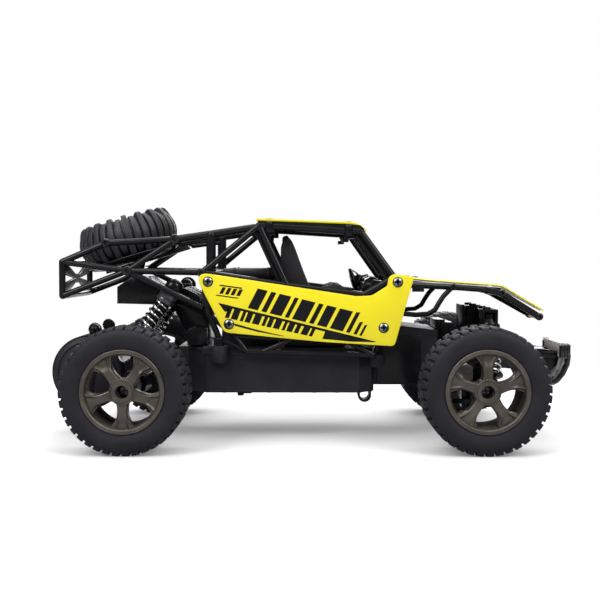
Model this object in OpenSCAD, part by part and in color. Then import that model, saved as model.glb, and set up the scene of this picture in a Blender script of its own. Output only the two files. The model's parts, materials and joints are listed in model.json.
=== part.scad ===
// Radio-controlled desert buggy, 1:20 class, as an assembly of separate pieces.
// +X is forward, +Y is the buggy's left, +Z is up. The origin is on the ground at the middle of the length.
// Shapes are drawn from a point midway between the axles, and place() moves them back to the origin.
// Pieces that come in pairs are drawn for the left side (+Y) and mirrored for the right.

/* [Wheels] */
// Distance between the front and rear axles
wheelbase = 163; // [160:1:166]
// Width over the tyres
overall_w = 160; // [158:1:166]
// Outside diameter of a road tyre
tyre_d = 58; // [56:0.5:59]
// Width of a road tyre
tyre_w = 27; // [25:0.5:28]
// Diameter of the rim where the tyre sits
rim_d = 37; // [35:0.5:38]
// Number of spokes
spokes = 5; // [4:1:7]
// Diameter of the axles
axle_d = 4; // [3.6:0.1:4.4]
// Outside diameter of the spare tyre
spare_d = 51; // [48:1:54]
// Width of the spare tyre
spare_w = 19; // [16:1:20]
// Tilt of the spare tyre, front edge up
spare_tilt = 16.5; // [12:0.5:18]

/* [Chassis tub] */
// Width of the battery box
tub_w = 66; // [64:1:68]
// Height of the box floor above the ground
tub_z = 23.3; // [22.5:0.1:24]
// Height of the box rim above the ground
tub_top = 43; // [42:0.5:44]
// Thickness of the moulded walls
wall = 2; // [1.6:0.1:2.2]

/* [Cage and panels] */
// Diameter of the cage tubes
tube_d = 3.2; // [2.8:0.1:3.6]
// Half the width of the cage at the cab
cab_half = 38; // [37:0.5:39]
// Half the width of the cage at the tail
tail_half = 33; // [32:0.5:34]
// Thickness of the yellow panels
panel_t = 1.2; // [1:0.1:1.4]

/* [Front suspension] */
// Distance from the middle to the inner arm pivots
arm_in = 16; // [15.5:0.1:16.5]
// Distance from the middle to the outer arm pivots
arm_out = 42; // [41.5:0.1:42.2]
// Distance from the middle to the kingpins
kingpin = 50.5; // [50.3:0.1:50.7]
// Diameter of the hinge pins
pin_d = 2.5; // [2.2:0.1:2.6]

/* [Drive] */
// Teeth on the gear that turns the rear axle
spur_teeth = 34; // [34]
// Teeth on the small side of the idler gear
idler_small = 12; // [12]
// Teeth on the large side of the idler gear
idler_large = 36; // [36]
// Teeth on the motor's pinion
pinion_teeth = 10; // [10]

/* [Hidden] */
$fn = 48;
front_end = 133.6;     // bumper, ahead of the middle of the wheelbase
rear_end = -126.4;     // motor housing, behind it
tube_fn = 10;
gap = 0.05;           // running clearance, on the radius
eps = 0.01;
front_x = wheelbase / 2;
rear_x = -wheelbase / 2;
axle_z = tyre_d / 2;
wheel_y = overall_w / 2 - tyre_w / 2;
rim_out = overall_w / 2 - 1;    // outer end of the rim barrel
rim_in = rim_out - 22.5;        // inner end of the rim barrel
rim_wall = 1.6;
screw_y = overall_w / 2 - 11.8; // seat of the wheel screw, deep in the hub
tube_r = tube_d / 2;
panel_y = cab_half + tube_r + 0.7;

door_z = tub_z - 1.9;    // hinge of the battery door
lid_end = 65.6;          // front of the raised nose

// front suspension heights
arm_drop = 4;
low_z = 25;
high_z = 40;
ear_x = [front_x - 11, front_x + 10.2];  // inner sides of the two plates that hold the arm pins
ear_t = 2.8;
arm_x = [ear_x[0] + ear_t + 0.2, ear_x[1] - 0.2];
carrier_half = 5;      // half the length of an arm's outer barrel
steer_arm = 15;        // kingpin to steering pin
steer_x = front_x - steer_arm;
crank_r = 14;          // steering crank shaft to its pin
crank_x = steer_x - crank_r;
rod_z = 30;

// front shocks: pivots in the plane x = front_shock_x
front_shock_x = front_x + 9.5;
front_shock_top = [22, 60];
front_shock_low = [36, 27];
// rear shocks: pivots in the planes y = +-rear_shock_y, as [x, z]
rear_shock_y = 28;
rear_shock_top = [-64, 74.5];
rear_shock_low = [-88, 41];
swing = [-62, 26];     // pivot of the rear axle housing, as [x, z]

// gear train: the idler sits above the line from the axle to the motor
motor = [-108, 32];
axle_module = 0.8;
motor_module = 0.6;
axle_dist = axle_module * (spur_teeth + idler_small) / 2;
motor_dist = motor_module * (idler_large + pinion_teeth) / 2;
base = [motor[0] - rear_x, motor[1] - axle_z];
base_len = norm(base);
base_angle = atan2(base[1], base[0]);
corner = acos((base_len ^ 2 + axle_dist ^ 2 - motor_dist ^ 2) / (2 * base_len * axle_dist));
idler_angle = base_angle - corner;
idler = [rear_x + axle_dist * cos(idler_angle), axle_z + axle_dist * sin(idler_angle)];
pinion_angle = atan2(motor[1] - idler[1], motor[0] - idler[0]);
gear_y = [8, 13.5];    // inner faces of the axle-side and motor-side gears

// cage points on the left side, as [x, y, z]
tail_low = [-118, tail_half, 70.5];
tail_top = [-118, tail_half, 87];
tail_bend = [-96.5, tail_half, 96.2];
rack_top = [-63, tail_half, 98];
rack_mid = [-86, tail_half + 1.5, 82.7];
roof_rear = [-22, cab_half - 2, 105];
roof_front = [27, cab_half - 2, 102];
shoulder = [-49.7, cab_half, 81.8];
post_top = [-45.5, cab_half - 3, 100.7];
sill_mid = [-8.5, cab_half, 75.5];
door_dip = [28, cab_half, 71];
cowl = [43, cab_half, 80];
rear_foot = [-41.5, cab_half - 2, 50];
front_foot = [34.5, cab_half - 8, 45];
hood_rear = [47, 37, 76.4];
hood_mid = [72, 31, 74.8];
hood_bend = [97, 21, 72.4];
hood_tip = [117.5, 12, 60.5];
hoop_rear = [46, 31, 62];
hoop_low = [61, 31, 62];
brace_foot = [-46, cab_half, 61.5];

// ---- helpers ----

module on_right() { mirror([0, 1, 0]) children(); }
module both_sides() { children(); on_right() children(); }

// A box between two corners.
module block(low, high) { translate(low) cube(high - low); }

// A cylinder along +Y from y0 to y1, with its axis at [x, z].
module rod_y(at, r, y0, y1) { translate([at[0], y0, at[1]]) rotate([-90, 0, 0]) cylinder(r = r, h = y1 - y0); }

// A cylinder along +X from x0 to x1, with its axis at [y, z].
module rod_x(at, r, x0, x1) { translate([x0, at[0], at[1]]) rotate([0, 90, 0]) cylinder(r = r, h = x1 - x0); }

// A profile drawn in [x, z] and given a thickness from y0 to y1.
module slab_y(y0, y1) { translate([0, y1, 0]) rotate([90, 0, 0]) linear_extrude(y1 - y0) children(); }

// A profile drawn in [y, z] and given a thickness from x0 to x1.
module slab_x(x0, x1) {
    translate([x0, 0, 0]) rotate([90, 0, 90]) linear_extrude(x1 - x0) children();
}

// Round tube through a list of points.
module tube(points, r = tube_r) {
    for (i = [0 : len(points) - 2])
        hull() {
            translate(points[i]) sphere(r = r, $fn = tube_fn);
            translate(points[i + 1]) sphere(r = r, $fn = tube_fn);
        }
}

function left_to_right(p) = [p[0], -p[1], p[2]];

// Cross tube from a left-side point to its mirror image.
module cross_tube(p, r = tube_r) { tube([p, left_to_right(p)], r); }

function between(a, b, t) = a + (b - a) * t;

// ---- chassis ----

// Plan of the battery box, drawn in from its outer face by `inset`.
module box_plan(inset) {
    y1 = tub_w / 2 - inset;
    y2 = 20 - inset / 2;
    y3 = 24 - inset;
    polygon([[-58 + inset, y2], [-48 + inset, y1], [27 - inset / 2, y1], [34 - inset / 2, y3],
             [34 - inset / 2, -y3], [27 - inset / 2, -y1], [-48 + inset, -y1], [-58 + inset, -y2]]);
}

module chassis_tub() {
    nose_x = ear_x[1] + ear_t;
    door_x = [-30, 28.6];
    color([0.10, 0.10, 0.11]) difference() {
        union() {
            difference() {
                union() {
                    translate([0, 0, tub_z]) linear_extrude(tub_top - tub_z) box_plan(0);
                    block([33, -24, 26.3], [58, 24, 51]);
                }
                translate([0, 0, tub_z + wall]) linear_extrude(tub_top) box_plan(wall);
                block([30, -22, 28.3], [56, 22, 52]);
            }
            // nose plate, spine and the two plates that hold the arm pins
            block([50, -12, 23.5], [nose_x, 12, 28.3]);
            block([ear_x[0] + ear_t - eps, -9, 20], [ear_x[1] + eps, 9, 45]);
            for (x = ear_x) block([x, -19.5, 20], [x + ear_t, 19.5, 45]);
            // horn that carries the bumper
            block([nose_x - eps, -9, 33], [120, 9, 41]);
            // cage bosses
            both_sides() {
                translate([rear_foot[0], rear_foot[1], 38.5]) cylinder(r = 4.2, h = 8);
                translate([front_foot[0], front_foot[1], 36]) cylinder(r = 4, h = 5.6);
                block([front_foot[0] - 3, 22, 36], [front_foot[0] + 3, 27, 41.6]);
            }
            // ears for the rear swing pivot
            both_sides() for (y = [10.5, 19.3]) {
                block([swing[0], y, swing[1] - 3], [-56.5, y + 3, swing[1] + 3]);
                rod_y(swing, 3, y, y + 3);
            }
            // hinge lugs of the battery door
            both_sides() for (y = [8, 14]) block([-34, y, door_z - 1.7], [-31, y + 2, tub_z + eps]);
            // rest pad behind the battery door
            block([-56, -19, tub_z - 0.5], [-36, 19, tub_z + eps]);
            // blocks that close the gaps to the rear and the front suspension
            block([-63, -20, 36.5], [-57.9, 20, tub_top + wall]);
            both_sides() block([58 - eps, 22, 33.5], [lid_end, 24, 51]);
        }
        block([door_x[0], -18, 0], [door_x[1], 18, tub_z + wall + 1]);
        // steering crank slot in the front wall
        block([55, -13, 31.5], [60, 13, 36.5]);
        // slot for the power switch
        block([-46, 8, 0], [-38, 12, 30]);
        both_sides() {
            rod_x([arm_in, low_z], pin_d / 2 + 0.02, 60, 110);
            rod_x([arm_in, high_z], pin_d / 2 + 0.02, 60, 110);
            translate([rear_foot[0], rear_foot[1], 40.5]) cylinder(r = 2.6, h = 20);
            translate([front_foot[0], front_foot[1], 38]) cylinder(r = 2.6, h = 20);
        }
        rod_y(swing, 1.52, -30, 30);
        rod_y([-32.5, door_z], 0.85, -30, 30);
    }
}

// Lid of the battery box, with a raised nose over the electronics.
module chassis_cover() {
    rim_z = 51 + gap;
    color([0.08, 0.08, 0.09]) difference() {
        union() {
            translate([0, 0, tub_top + gap]) linear_extrude(wall) box_plan(0.4);
            slab_y(-24, 24) polygon([[33, tub_top + gap], [33, 54.4], [40, 56.3], [lid_end, 53.3],
                                     [lid_end, rim_z], [33 + wall, rim_z], [33 + wall, tub_top + gap]]);
        }
        slab_y(-22, 22) polygon([[33 + wall, 40], [33 + wall, 52.6], [40, 54.3], [lid_end - wall, 51.5],
                                 [lid_end - wall, 40]]);
        both_sides() block([33 - gap, 22 - gap, 40], [70, 30, rim_z]);
        both_sides() {
            translate([rear_foot[0], rear_foot[1], 30]) cylinder(r = 4.4, h = 30);
            translate([front_foot[0], front_foot[1], 30]) cylinder(r = 4.4, h = 30);
        }
    }
}

module battery_door() {
    latch_x = 30.6;
    latch_r = 2.3;
    latch_z = 18.5;
    color([0.12, 0.12, 0.13]) {
        block([-29.7, -17.7, tub_z], [27.7, 17.7, tub_z + wall]);
        both_sides() {
            block([-29.7, 10.2, door_z - 0.9], [-27, 13.8, tub_z + 1]);
            block([-32.5, 10.2, door_z - 0.9], [-27, 13.8, tub_z - 0.3]);
            rod_y([-32.5, door_z], 1.7, 10.2, 13.8);
        }
        // sprung latch: a strip bent into a U that a finger pulls
        translate([latch_x, 5, latch_z]) rotate([90, 0, 0]) {
            rotate([0, 0, 180]) rotate_extrude(angle = 180) translate([latch_r, 0]) square([1.1, 10]);
            translate([latch_r, -eps, 0]) cube([1.1, 3.6, 10]);
            translate([-latch_r - 1.1, -eps, 0]) cube([1.1, tub_z + 1 - latch_z, 10]);
        }
        both_sides() rod_y([-32.5, door_z], 0.85 - gap, 8, 16);
    }
}

module power_switch() {
    color([0.65, 0.66, 0.68]) {
        block([-45.7, 8.3, tub_z - 0.4], [-42.4, 11.7, tub_z + wall]);
        block([-45.7, 6, tub_z + wall + 0.1 - eps], [-41, 14, tub_z + wall + 1]);
        block([-45.7, 8.3, tub_z + wall - eps], [-42.4, 11.7, tub_z + wall + 0.2]);
    }
}

module suspension_pins() {
    color([0.75, 0.76, 0.78]) {
        both_sides() for (z = [low_z, high_z])
            rod_x([arm_in, z], pin_d / 2, ear_x[0] - 0.8, ear_x[1] + ear_t + 0.8);
        rod_y(swing, 1.5, -23, 23);
    }
}

// ---- cage, panels, cab ----

module roll_cage() {
    color([0.07, 0.07, 0.08]) {
        both_sides() {
            tube([shoulder, roof_rear, roof_front, cowl]);
            tube([roof_rear, sill_mid]);
            tube([shoulder, sill_mid, door_dip, cowl]);
            tube([cowl, hood_rear, hood_mid, hood_bend, hood_tip]);
            tube([hoop_rear, hoop_low, between(hoop_low, hood_mid, 0.25) + [1, 0, -1.6], hood_mid], 1.3);
            tube([cowl, [44.5, cab_half - 1, 70], hoop_rear]);
            // truss under the side panel
            tube([shoulder, brace_foot, rear_foot], 1.4);
            tube([rear_foot, [-28, cab_half, 43.6], [33, cab_half, 41.8], front_foot], 1.2);
            tube([[-34, cab_half, 51.5], [-28, cab_half, 43.6]], 1.2);
            tube([[-6, cab_half, 50], [-20.5, cab_half, 43.3]], 1.2);
            tube([[21, cab_half, 48.5], [33, cab_half, 42.3]], 1.2);
            tube([brace_foot, [-34, cab_half, 51.5], [-6, cab_half, 50], [21, cab_half, 48.5],
                  [40, cab_half - 1, 50]], 1.2);
            tube([[40, cab_half - 1, 50], [44.5, cab_half - 1, 70]], 1.2);
            // feet in the chassis bosses
            translate([rear_foot[0], rear_foot[1], 41]) cylinder(r = 2.5, h = 9, $fn = 16);
            translate([front_foot[0], front_foot[1], 38.5]) cylinder(r = 2.5, h = 6, $fn = 16);
        }
        for (p = [roof_rear, roof_front, shoulder, cowl, hood_mid, hood_bend, hood_tip]) cross_tube(p);
        cross_tube([44.5, cab_half - 1, 70], 1.3);
    }
}

// The tube frame behind the cab that holds the spare wheel.
module rear_rack() {
    inner = [-45.5, cab_half - 4.4, 82];
    color([0.07, 0.07, 0.08]) {
        both_sides() {
            tube([tail_low, tail_top, tail_bend, rack_top]);
            tube([tail_top, rack_mid, tail_low]);
            tube([rack_mid, rack_top]);
            tube([rack_mid, [-53.6, cab_half - 2, 82]]);
            tube([rack_mid, [-50.6, cab_half - 0.5, 65]]);
            tube([rack_top, [-25.8, cab_half - 4.6, 103.4]]);
            tube([[-45.5, cab_half - 3.9, 99.6], inner], 2.3);
        }
        for (p = [tail_low, tail_top, rack_mid, rack_top]) cross_tube(p);
        cross_tube(inner, 1.4);
        // cross brace over the tail
        tube([tail_low, left_to_right(tail_top)], 1.3);
        tube([tail_top, left_to_right(tail_low)], 1.3);
        // tray under the spare wheel
        translate([-91, 0, 99]) rotate([0, -spare_tilt, 0]) {
            translate([0, 0, -spare_w / 2 - 3.4]) cylinder(r = 20, h = 2.2, $fn = 40);
            translate([0, 0, -spare_w / 2 - 3]) cylinder(r = 3, h = 9, $fn = 16);
            block([-16, -2.5, -spare_w / 2 - 4.4], [29, 2.5, -spare_w / 2 - 2]);
        }
        for (y = [-8, 8]) tube([[rack_mid[0], y, rack_mid[2]], [-85, y, 87.6]], 1.4);
        tube([[rack_top[0], 0, rack_top[2]], [-64, 0, 94.4]], 1.4);
    }
}

// Outline of a side panel in [x, z]: low at the door, with an ear at the front.
module panel_outline() {
    rear_r = 4;
    difference() {
        union() {
            translate([-46.4, 77.6]) circle(r = rear_r);
            translate([-36.4, 57.2]) circle(r = rear_r);
            translate([44.4, 77.3]) circle(r = 4);
            polygon([[-50.1, 76.1], [-40.1, 55.5], [-36.6, 53.2], [8, 48.6], [41, 46.8], [43.2, 48.8],
                     [51.8, 79.2], [44.4, 81.3], [40.4, 77.3], [38.4, 74.6], [31, 71], [26, 70.6],
                     [-46, 81.6]]);
        }
        translate([45.5, 90]) circle(r = 8);
    }
}

module side_panel() {
    color([0.96, 0.87, 0.12]) slab_y(panel_y, panel_y + panel_t) panel_outline();
}

panel_holes = [[-46.4, 77.6], [-36.4, 57.2], [44.4, 77.3], [37.7, 55.5]];

module roof_panel() {
    y = cab_half - 2.5;
    color([0.96, 0.87, 0.12]) slab_y(-y, y)
        polygon([[-23.5, 106.9], [22, 105.2], [26.8, 104.8], [29.9, 101.7], [30.8, 102.5], [27.4, 106],
                 [22.3, 106.4], [-23.5, 108.1]]);
}

// Top sheet of the hood: a tapering strip folded at the bend.
module hood_panel() {
    color([0.96, 0.87, 0.12]) intersection() {
        slab_y(-40, 40)
            polygon([[47, 78.6], [97.9, 74.2], [121.9, 61], [122.5, 62.1], [98.4, 75.4], [47, 79.8]]);
        linear_extrude(120)
            polygon([[47, 33], [72, 27], [98, 18], [123, 8], [123, -8], [98, -18], [72, -27], [47, -33]]);
    }
}

screw_r = 2.15;

module panel_screws() {
    color([0.75, 0.75, 0.78]) {
        both_sides() for (p = panel_holes)
            rod_y(p, screw_r, panel_y + panel_t + eps, panel_y + panel_t + 1);
        both_sides() {
            translate([-17.5, 30, 107.95]) cylinder(r = screw_r, h = 1);
            translate([21, 30, 106.55]) cylinder(r = screw_r, h = 0.9);
            translate([54, 24, 79.4]) cylinder(r = screw_r, h = 0.9);
        }
    }
}

module seats() {
    color([0.11, 0.11, 0.12]) both_sides() {
        slab_y(5, 29) polygon([[-10, 45.1], [-11.5, 70], [-11, 92], [-6, 93.5], [1.5, 75], [4.5, 66],
                               [12, 73], [18, 73.6], [22.5, 70], [20, 45.1]]);
        slab_y(10, 24) polygon([[-11.2, 90], [-11, 100.5], [-7, 100.5], [-5, 90]]);
    }
}

module dashboard() {
    color([0.09, 0.09, 0.10]) difference() {
        slab_y(-29, 29) polygon([[34, 56.4], [31, 66], [29.5, 71], [33, 78], [38, 77.4], [42, 74], [46, 66],
                                 [46, 56.4]]);
        rod_y([44.5, 70], 1.3 + gap, -40, 40);     // groove for the cage's cross tube
    }
}

module cab_steering_wheel() {
    color([0.08, 0.08, 0.09]) translate([25.6, 17, 77.2]) rotate([0, 68, 0]) {
        rotate_extrude() translate([6.2, 0]) circle(r = 0.9, $fn = 24);
        for (a = [90, 210, 330]) rotate([0, 0, a]) block([0, -0.9, -0.5], [6, 0.9, 0.5]);
        cylinder(r = 1.8, h = 1.6, center = true);
        cylinder(r = 1, h = 5.4);
    }
}

// Moulded dummy engine behind the seats.
module engine_block() {
    color([0.09, 0.09, 0.10]) {
        block([-42, -18, 45.1], [-14, 18, 68]);
        both_sides() {
            block([-40, 6, 66], [-16, 22, 79]);
            rod_x([14, 81], 3.6, -41, -15);
            for (i = [0 : 4]) block([-39 + i * 5, 17, 60], [-36.5 + i * 5, 24.5, 76]);
        }
        translate([-28, 0, 67]) cylinder(r = 5, h = 13);
    }
}

// ---- rear deck, shock towers, bumper ----

module rear_deck() {
    color([0.08, 0.08, 0.09]) difference() {
        union() {
            slab_y(-21.5, 21.5) polygon([[-93.5, 66.3], [-66, 65.4], [-61, 54], [-58, tub_top + wall + 0.1],
                                         [-48.5, tub_top + wall + 0.1], [-48.5, 60], [-52.7, 70.5], [-62.5, 73],
                                         [-73, 75.6], [-80, 80.9], [-86.5, 80.9], [-93.5, 76]]);
            both_sides() {
                rod_y(rear_shock_top, 3.4, 20, 24.6);
                rod_y(rear_shock_top, 1.4, 24, 33);
                rod_y(rear_shock_top, 3.9, 30.6, 34.3);
            }
        }
        slab_y(-19.5, 19.5) polygon([[-91.5, 60], [-91.5, 75], [-85.8, 78.9], [-80.7, 78.9], [-73.9, 73.7],
                                     [-63, 71], [-54.2, 68.6], [-50.5, 59.5], [-50.5, 40], [-56, 40], [-59.2, 53],
                                     [-63.5, 62], [-64, 60]]);
    }
}

// Tower over the front arms: a plate and a block on the middle line, with a head at each side for a shock.
module front_shock_tower() {
    foot = 45 + gap;
    block_x = [82.2, front_shock_x + 4];
    head_x = 86.2;         // rear of the heads
    head_z = [56.8, 63.5];
    eye = 2.4;             // half the slot for the eye of a shock
    color([0.08, 0.08, 0.09]) difference() {
        union() {
            block([79.6, -11, foot], [81, 11, 65.2]);
            block([block_x[0], -11, foot], [block_x[1], 11, 64.7]);
            block([79.6, -8, foot], [block_x[1], 8, 56]);
            block([66.5, -6, foot], [80, 6, 48]);
            both_sides() {
                block([head_x, 10.9, head_z[0]], [block_x[1], 26.4, head_z[1]]);
                block([head_x, 10.9, 54], [head_x + 2, 18, head_z[1]]);
            }
            block([66.4, -13, foot], [70.7, 13, 57.9]);
            block([68.4, -14, foot], [74.4, 14, 56.6]);
        }
        both_sides() {
            block([front_shock_x - eye, 15, 50], [front_shock_x + eye, 30, 63]);
            at_front() translate([0, 0, -30]) cylinder(r = seat_r + 0.5, h = 30.3 - top_seat);
        }
    }
    color([0.08, 0.08, 0.09]) both_sides()
        rod_x(front_shock_top, 1.4, front_shock_x - eye - 1, front_shock_x + eye + 1);
}

// Bumper: a ribbed bar across the nose, with a plate below it that narrows to a hoop.
module front_bumper() {
    rear = 128;
    bar_half = 20;
    bar_z = [39, 46.9];
    hoop = [[131, 16.6, 39.5], [131.4, 15, 34], [130.9, 9, 27.4], [130.4, 0, 25.2]];
    color([0.55, 0.55, 0.56]) {
        translate([0, 0, bar_z[0]]) linear_extrude(bar_z[1] - bar_z[0])
            polygon([[rear, -bar_half], [130.5, -bar_half], [132.6, 3 - bar_half], [front_end, 10 - bar_half],
                     [front_end, bar_half - 10], [132.6, bar_half - 3], [130.5, bar_half], [rear, bar_half]]);
        for (i = [-4 : 4]) block([rear - 0.8, i * 4.4 - 0.9, bar_z[0] + 0.5], [rear + 1, i * 4.4 + 0.9, bar_z[1]]);
        both_sides() for (i = [0 : 2]) tube([hoop[i], hoop[i + 1]], 1.5);
        translate([129.4, 0, 0]) slab_x(0, 1.6)
            polygon([[-16, 40], [-13.6, 33.5], [-8, 27.6], [0, 26], [8, 27.6], [13.6, 33.5], [16, 40]]);
        // bracket over the chassis horn
        difference() {
            block([106, -11.2, 31], [130, 11.2, 43]);
            block([100, -9.1, 32.9], [120.1, 9.1, 41.1]);
            block([122, -9.2, 30], [128, 9.2, 50]);
        }
    }
}

// ---- front suspension, left side ----

// Arm between an inner and an outer barrel: `inner` is the inner barrel's x range, `mid` the outer end's half width.
module arm(z, inner, web, windowed) {
    length = norm([arm_out - arm_in, arm_drop]);
    slope = atan2(-arm_drop, arm_out - arm_in);
    difference() {
        union() {
            rod_x([arm_in, z], 2.6, inner[0], inner[1]);
            rod_x([arm_out, z - arm_drop], 2.3, front_x - carrier_half, front_x + carrier_half);
            translate([0, arm_in, z]) rotate([slope, 0, 0]) translate([0, 0, -1.25]) linear_extrude(2.5)
                difference() {
                    polygon([[inner[0], 0], [inner[1], 0], [front_x + web, length], [front_x - web, length]]);
                    if (windowed)
                        polygon([[inner[0] + 4, 4], [inner[1] - 4, 4], [front_x + 1.8, length - 7],
                                 [front_x - 1.8, length - 7]]);
                }
        }
        rod_x([arm_in, z], pin_d / 2 + gap, 0, 120);
        rod_x([arm_out, z - arm_drop], pin_d / 2 + gap, 0, 120);
    }
}

module lower_arm() {
    y = front_shock_low[0];
    z = front_shock_low[1];
    color([0.09, 0.09, 0.10]) {
        arm(low_z, arm_x, carrier_half - 0.2, true);
        // lug and pin for the foot of the shock
        slab_x(front_x + 2.6, front_x + 5)
            polygon([[y - 3.4, 21.2], [y + 2.4, 20.4], [y + 2, z + 2.2], [y - 2.2, z + 2.2]]);
        rod_x([y, z], 1.4, front_x + 4, front_shock_x + 3.6);
    }
}

module upper_arm() {
    color([0.09, 0.09, 0.10]) arm(high_z, [front_x - 5, front_x + 2.6], 3.2, false);
}

module carrier() {
    low = low_z - arm_drop;
    high = high_z - arm_drop;
    side = carrier_half + 0.3;
    color([0.10, 0.10, 0.11]) {
        for (x = [front_x - side - 1.7, front_x + side]) block([x, 39.4, low - 3], [x + 1.7, 45.4, high + 3]);
        block([front_x - side - 0.4, 44.6, low - 3], [front_x + side + 0.4, 46.2, high + 3]);
        for (z = [low, high]) rod_x([arm_out, z], pin_d / 2, front_x - side - 1, front_x + side + 1);
        // ears and the kingpin between them
        for (z = [low - 3, high + 0.6]) {
            block([front_x - 4, 45, z], [front_x + 4, kingpin, z + 2.4]);
            translate([front_x, kingpin, z]) cylinder(r = 2.9, h = 2.4);
        }
        translate([front_x, kingpin, low - 3.8]) cylinder(r = 1.5, h = high - low + 7.6);
    }
}

module knuckle() {
    low = low_z - arm_drop;
    high = high_z - arm_drop;
    color([0.10, 0.10, 0.11]) difference() {
        union() {
            block([front_x - 4, 48.3, low - 0.4], [front_x + 4, 53, high + 0.4]);
            rod_y([front_x, axle_z], 3.6, 52, 57);
            rod_y([front_x, axle_z], axle_d / 2, 52, screw_y + 0.2);
            rod_y([front_x, axle_z], axle_d / 2 + 0.4, screw_y + 0.15, screw_y + 1.8);
            // steering arm and pin
            block([steer_x, kingpin - 1.3, low - 0.4], [front_x, kingpin + 1.3, low + 1.6]);
            translate([steer_x, kingpin, low - 0.4]) cylinder(r = 2, h = 2);
            translate([steer_x, kingpin, low - 0.4]) cylinder(r = 1, h = 16.4);
        }
        translate([front_x, kingpin, 0]) cylinder(r = 1.5 + gap, h = 60);
    }
}

// ---- steering ----

module tie_rod() {
    z = [rod_z, rod_z + 2];
    slot_x = [steer_x - 1.5, steer_x + 2.9];
    color([0.10, 0.10, 0.11]) difference() {
        union() {
            block([steer_x - 2.5, -kingpin - 2.7, z[0]], [steer_x + 2.5, kingpin + 2.7, z[1]]);
            both_sides() block([slot_x[0] - 1, kingpin - 4, z[0]], [slot_x[1] + 1, kingpin + 2.7, z[1]]);
            block([steer_x - 4.6, -4, z[0]], [steer_x + 2.9, 4, z[1]]);
        }
        both_sides() block([slot_x[0], kingpin - 1.9, 0], [slot_x[1], kingpin + 1.9, 60]);
        block([steer_x - 3.6, -1.9, 0], [steer_x + 1.5, 1.9, 60]);
    }
}

module steering_crank() {
    z = rod_z + 3;
    color([0.80, 0.80, 0.78]) {
        block([crank_x, -2.2, z], [steer_x, 2.2, z + 2]);
        translate([crank_x, 0, z]) cylinder(r = 3.4, h = 2);
        translate([crank_x, 0, z + 1]) cylinder(r = 1.5, h = 6);
        translate([steer_x, 0, z]) cylinder(r = 2.2, h = 2);
        translate([steer_x, 0, rod_z - 1.5]) cylinder(r = 1, h = 5);
    }
}

module steering_servo() {
    z = rod_z + 5.3;
    color([0.12, 0.12, 0.14]) difference() {
        union() {
            block([38, -9, z], [55.6, 9, z + 12]);
            block([36.6, -13, z + 7], [55.6, 13, z + 9]);
            translate([47, 0, z + 11.5]) cylinder(r = 5, h = 3);
        }
        translate([crank_x, 0, z - 1]) cylinder(r = 1.5 + gap, h = 6);
    }
}

// ---- shocks ----
// A shock hangs from its top pivot at the origin along -Z; its eyes turn about X.

function shock_length(top, low) = norm(low - top);
front_len = shock_length(front_shock_top, front_shock_low);
rear_len = shock_length(rear_shock_top, rear_shock_low);
seat_r = 5.4;
seat_t = 1.5;
top_seat = 4.6;      // pivot to the top spring seat
low_seat = 5.8;      // bottom spring seat to the lower pivot
coil_r = 4.7;
wire_r = 0.5;

module shock_body(length) {
    barrel = length * 0.56;
    color([0.09, 0.09, 0.10]) difference() {
        union() {
            rod_x([0, 0], 3, -2.2, 2.2);
            block([-2.2, -2.2, -top_seat - 0.5], [2.2, 2.2, 0]);
            translate([0, 0, -top_seat - seat_t]) cylinder(r = seat_r, h = seat_t);
            translate([0, 0, -barrel]) cylinder(r = 3.5, h = barrel - top_seat);
        }
        rod_x([0, 0], 1.4 + gap, -10, 10);
        translate([0, 0, -barrel - 1]) cylinder(r = 1.2 + gap, h = barrel - top_seat - 1);
    }
}

module shock_rod(length) {
    color([0.70, 0.71, 0.73]) difference() {
        union() {
            rod_x([0, -length], 3, -2.2, 2.2);
            block([-2, -2, -length], [2, 2, -length + low_seat]);
            translate([0, 0, -length + low_seat - seat_t]) cylinder(r = seat_r, h = seat_t);
            translate([0, 0, -length + low_seat - 0.5]) cylinder(r = 1.2, h = length * 0.64 - low_seat);
        }
        rod_x([0, -length], 1.4 + 0.25, -10, 10);
    }
}

// Open coil between the two seats, as one swept polyhedron.
module coil(length, turns) {
    sides = 6;
    steps = 10 * turns;
    z0 = -top_seat - seat_t - wire_r - gap;
    z1 = -length + low_seat + wire_r + gap;
    points = [for (i = [0 : steps]) let (a = 360 * turns * i / steps, z = z0 + (z1 - z0) * i / steps)
        for (k = [0 : sides - 1]) let (b = 360 * k / sides, r = coil_r + wire_r * cos(b))
            [r * cos(a), r * sin(a), z + wire_r * sin(b)]];
    last = steps * sides;
    walls = [for (i = [0 : steps - 1]) for (k = [0 : sides - 1]) let (n = (k + 1) % sides)
        [i * sides + k, i * sides + n, (i + 1) * sides + n, (i + 1) * sides + k]];
    ends = [[for (k = [sides - 1 : -1 : 0]) k], [for (k = [0 : sides - 1]) last + k]];
    color([0.80, 0.80, 0.82]) polyhedron(points, concat(walls, ends));
}

// Puts a hanging shock between its pivots at the left front wheel.
module at_front() {
    d = front_shock_low - front_shock_top;
    translate([front_shock_x, front_shock_top[0], front_shock_top[1]])
        rotate([atan2(d[0], -d[1]), 0, 0]) children();
}

// Puts a hanging shock between its pivots at each end of the rear axle housing.
module at_rear() {
    d = rear_shock_low - rear_shock_top;
    both_sides() translate([rear_shock_top[0], rear_shock_y, rear_shock_top[1]])
        rotate([0, atan2(-d[0], -d[1]), 0]) rotate([0, 0, 90]) children();
}

// ---- wheels, left side ----

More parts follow.
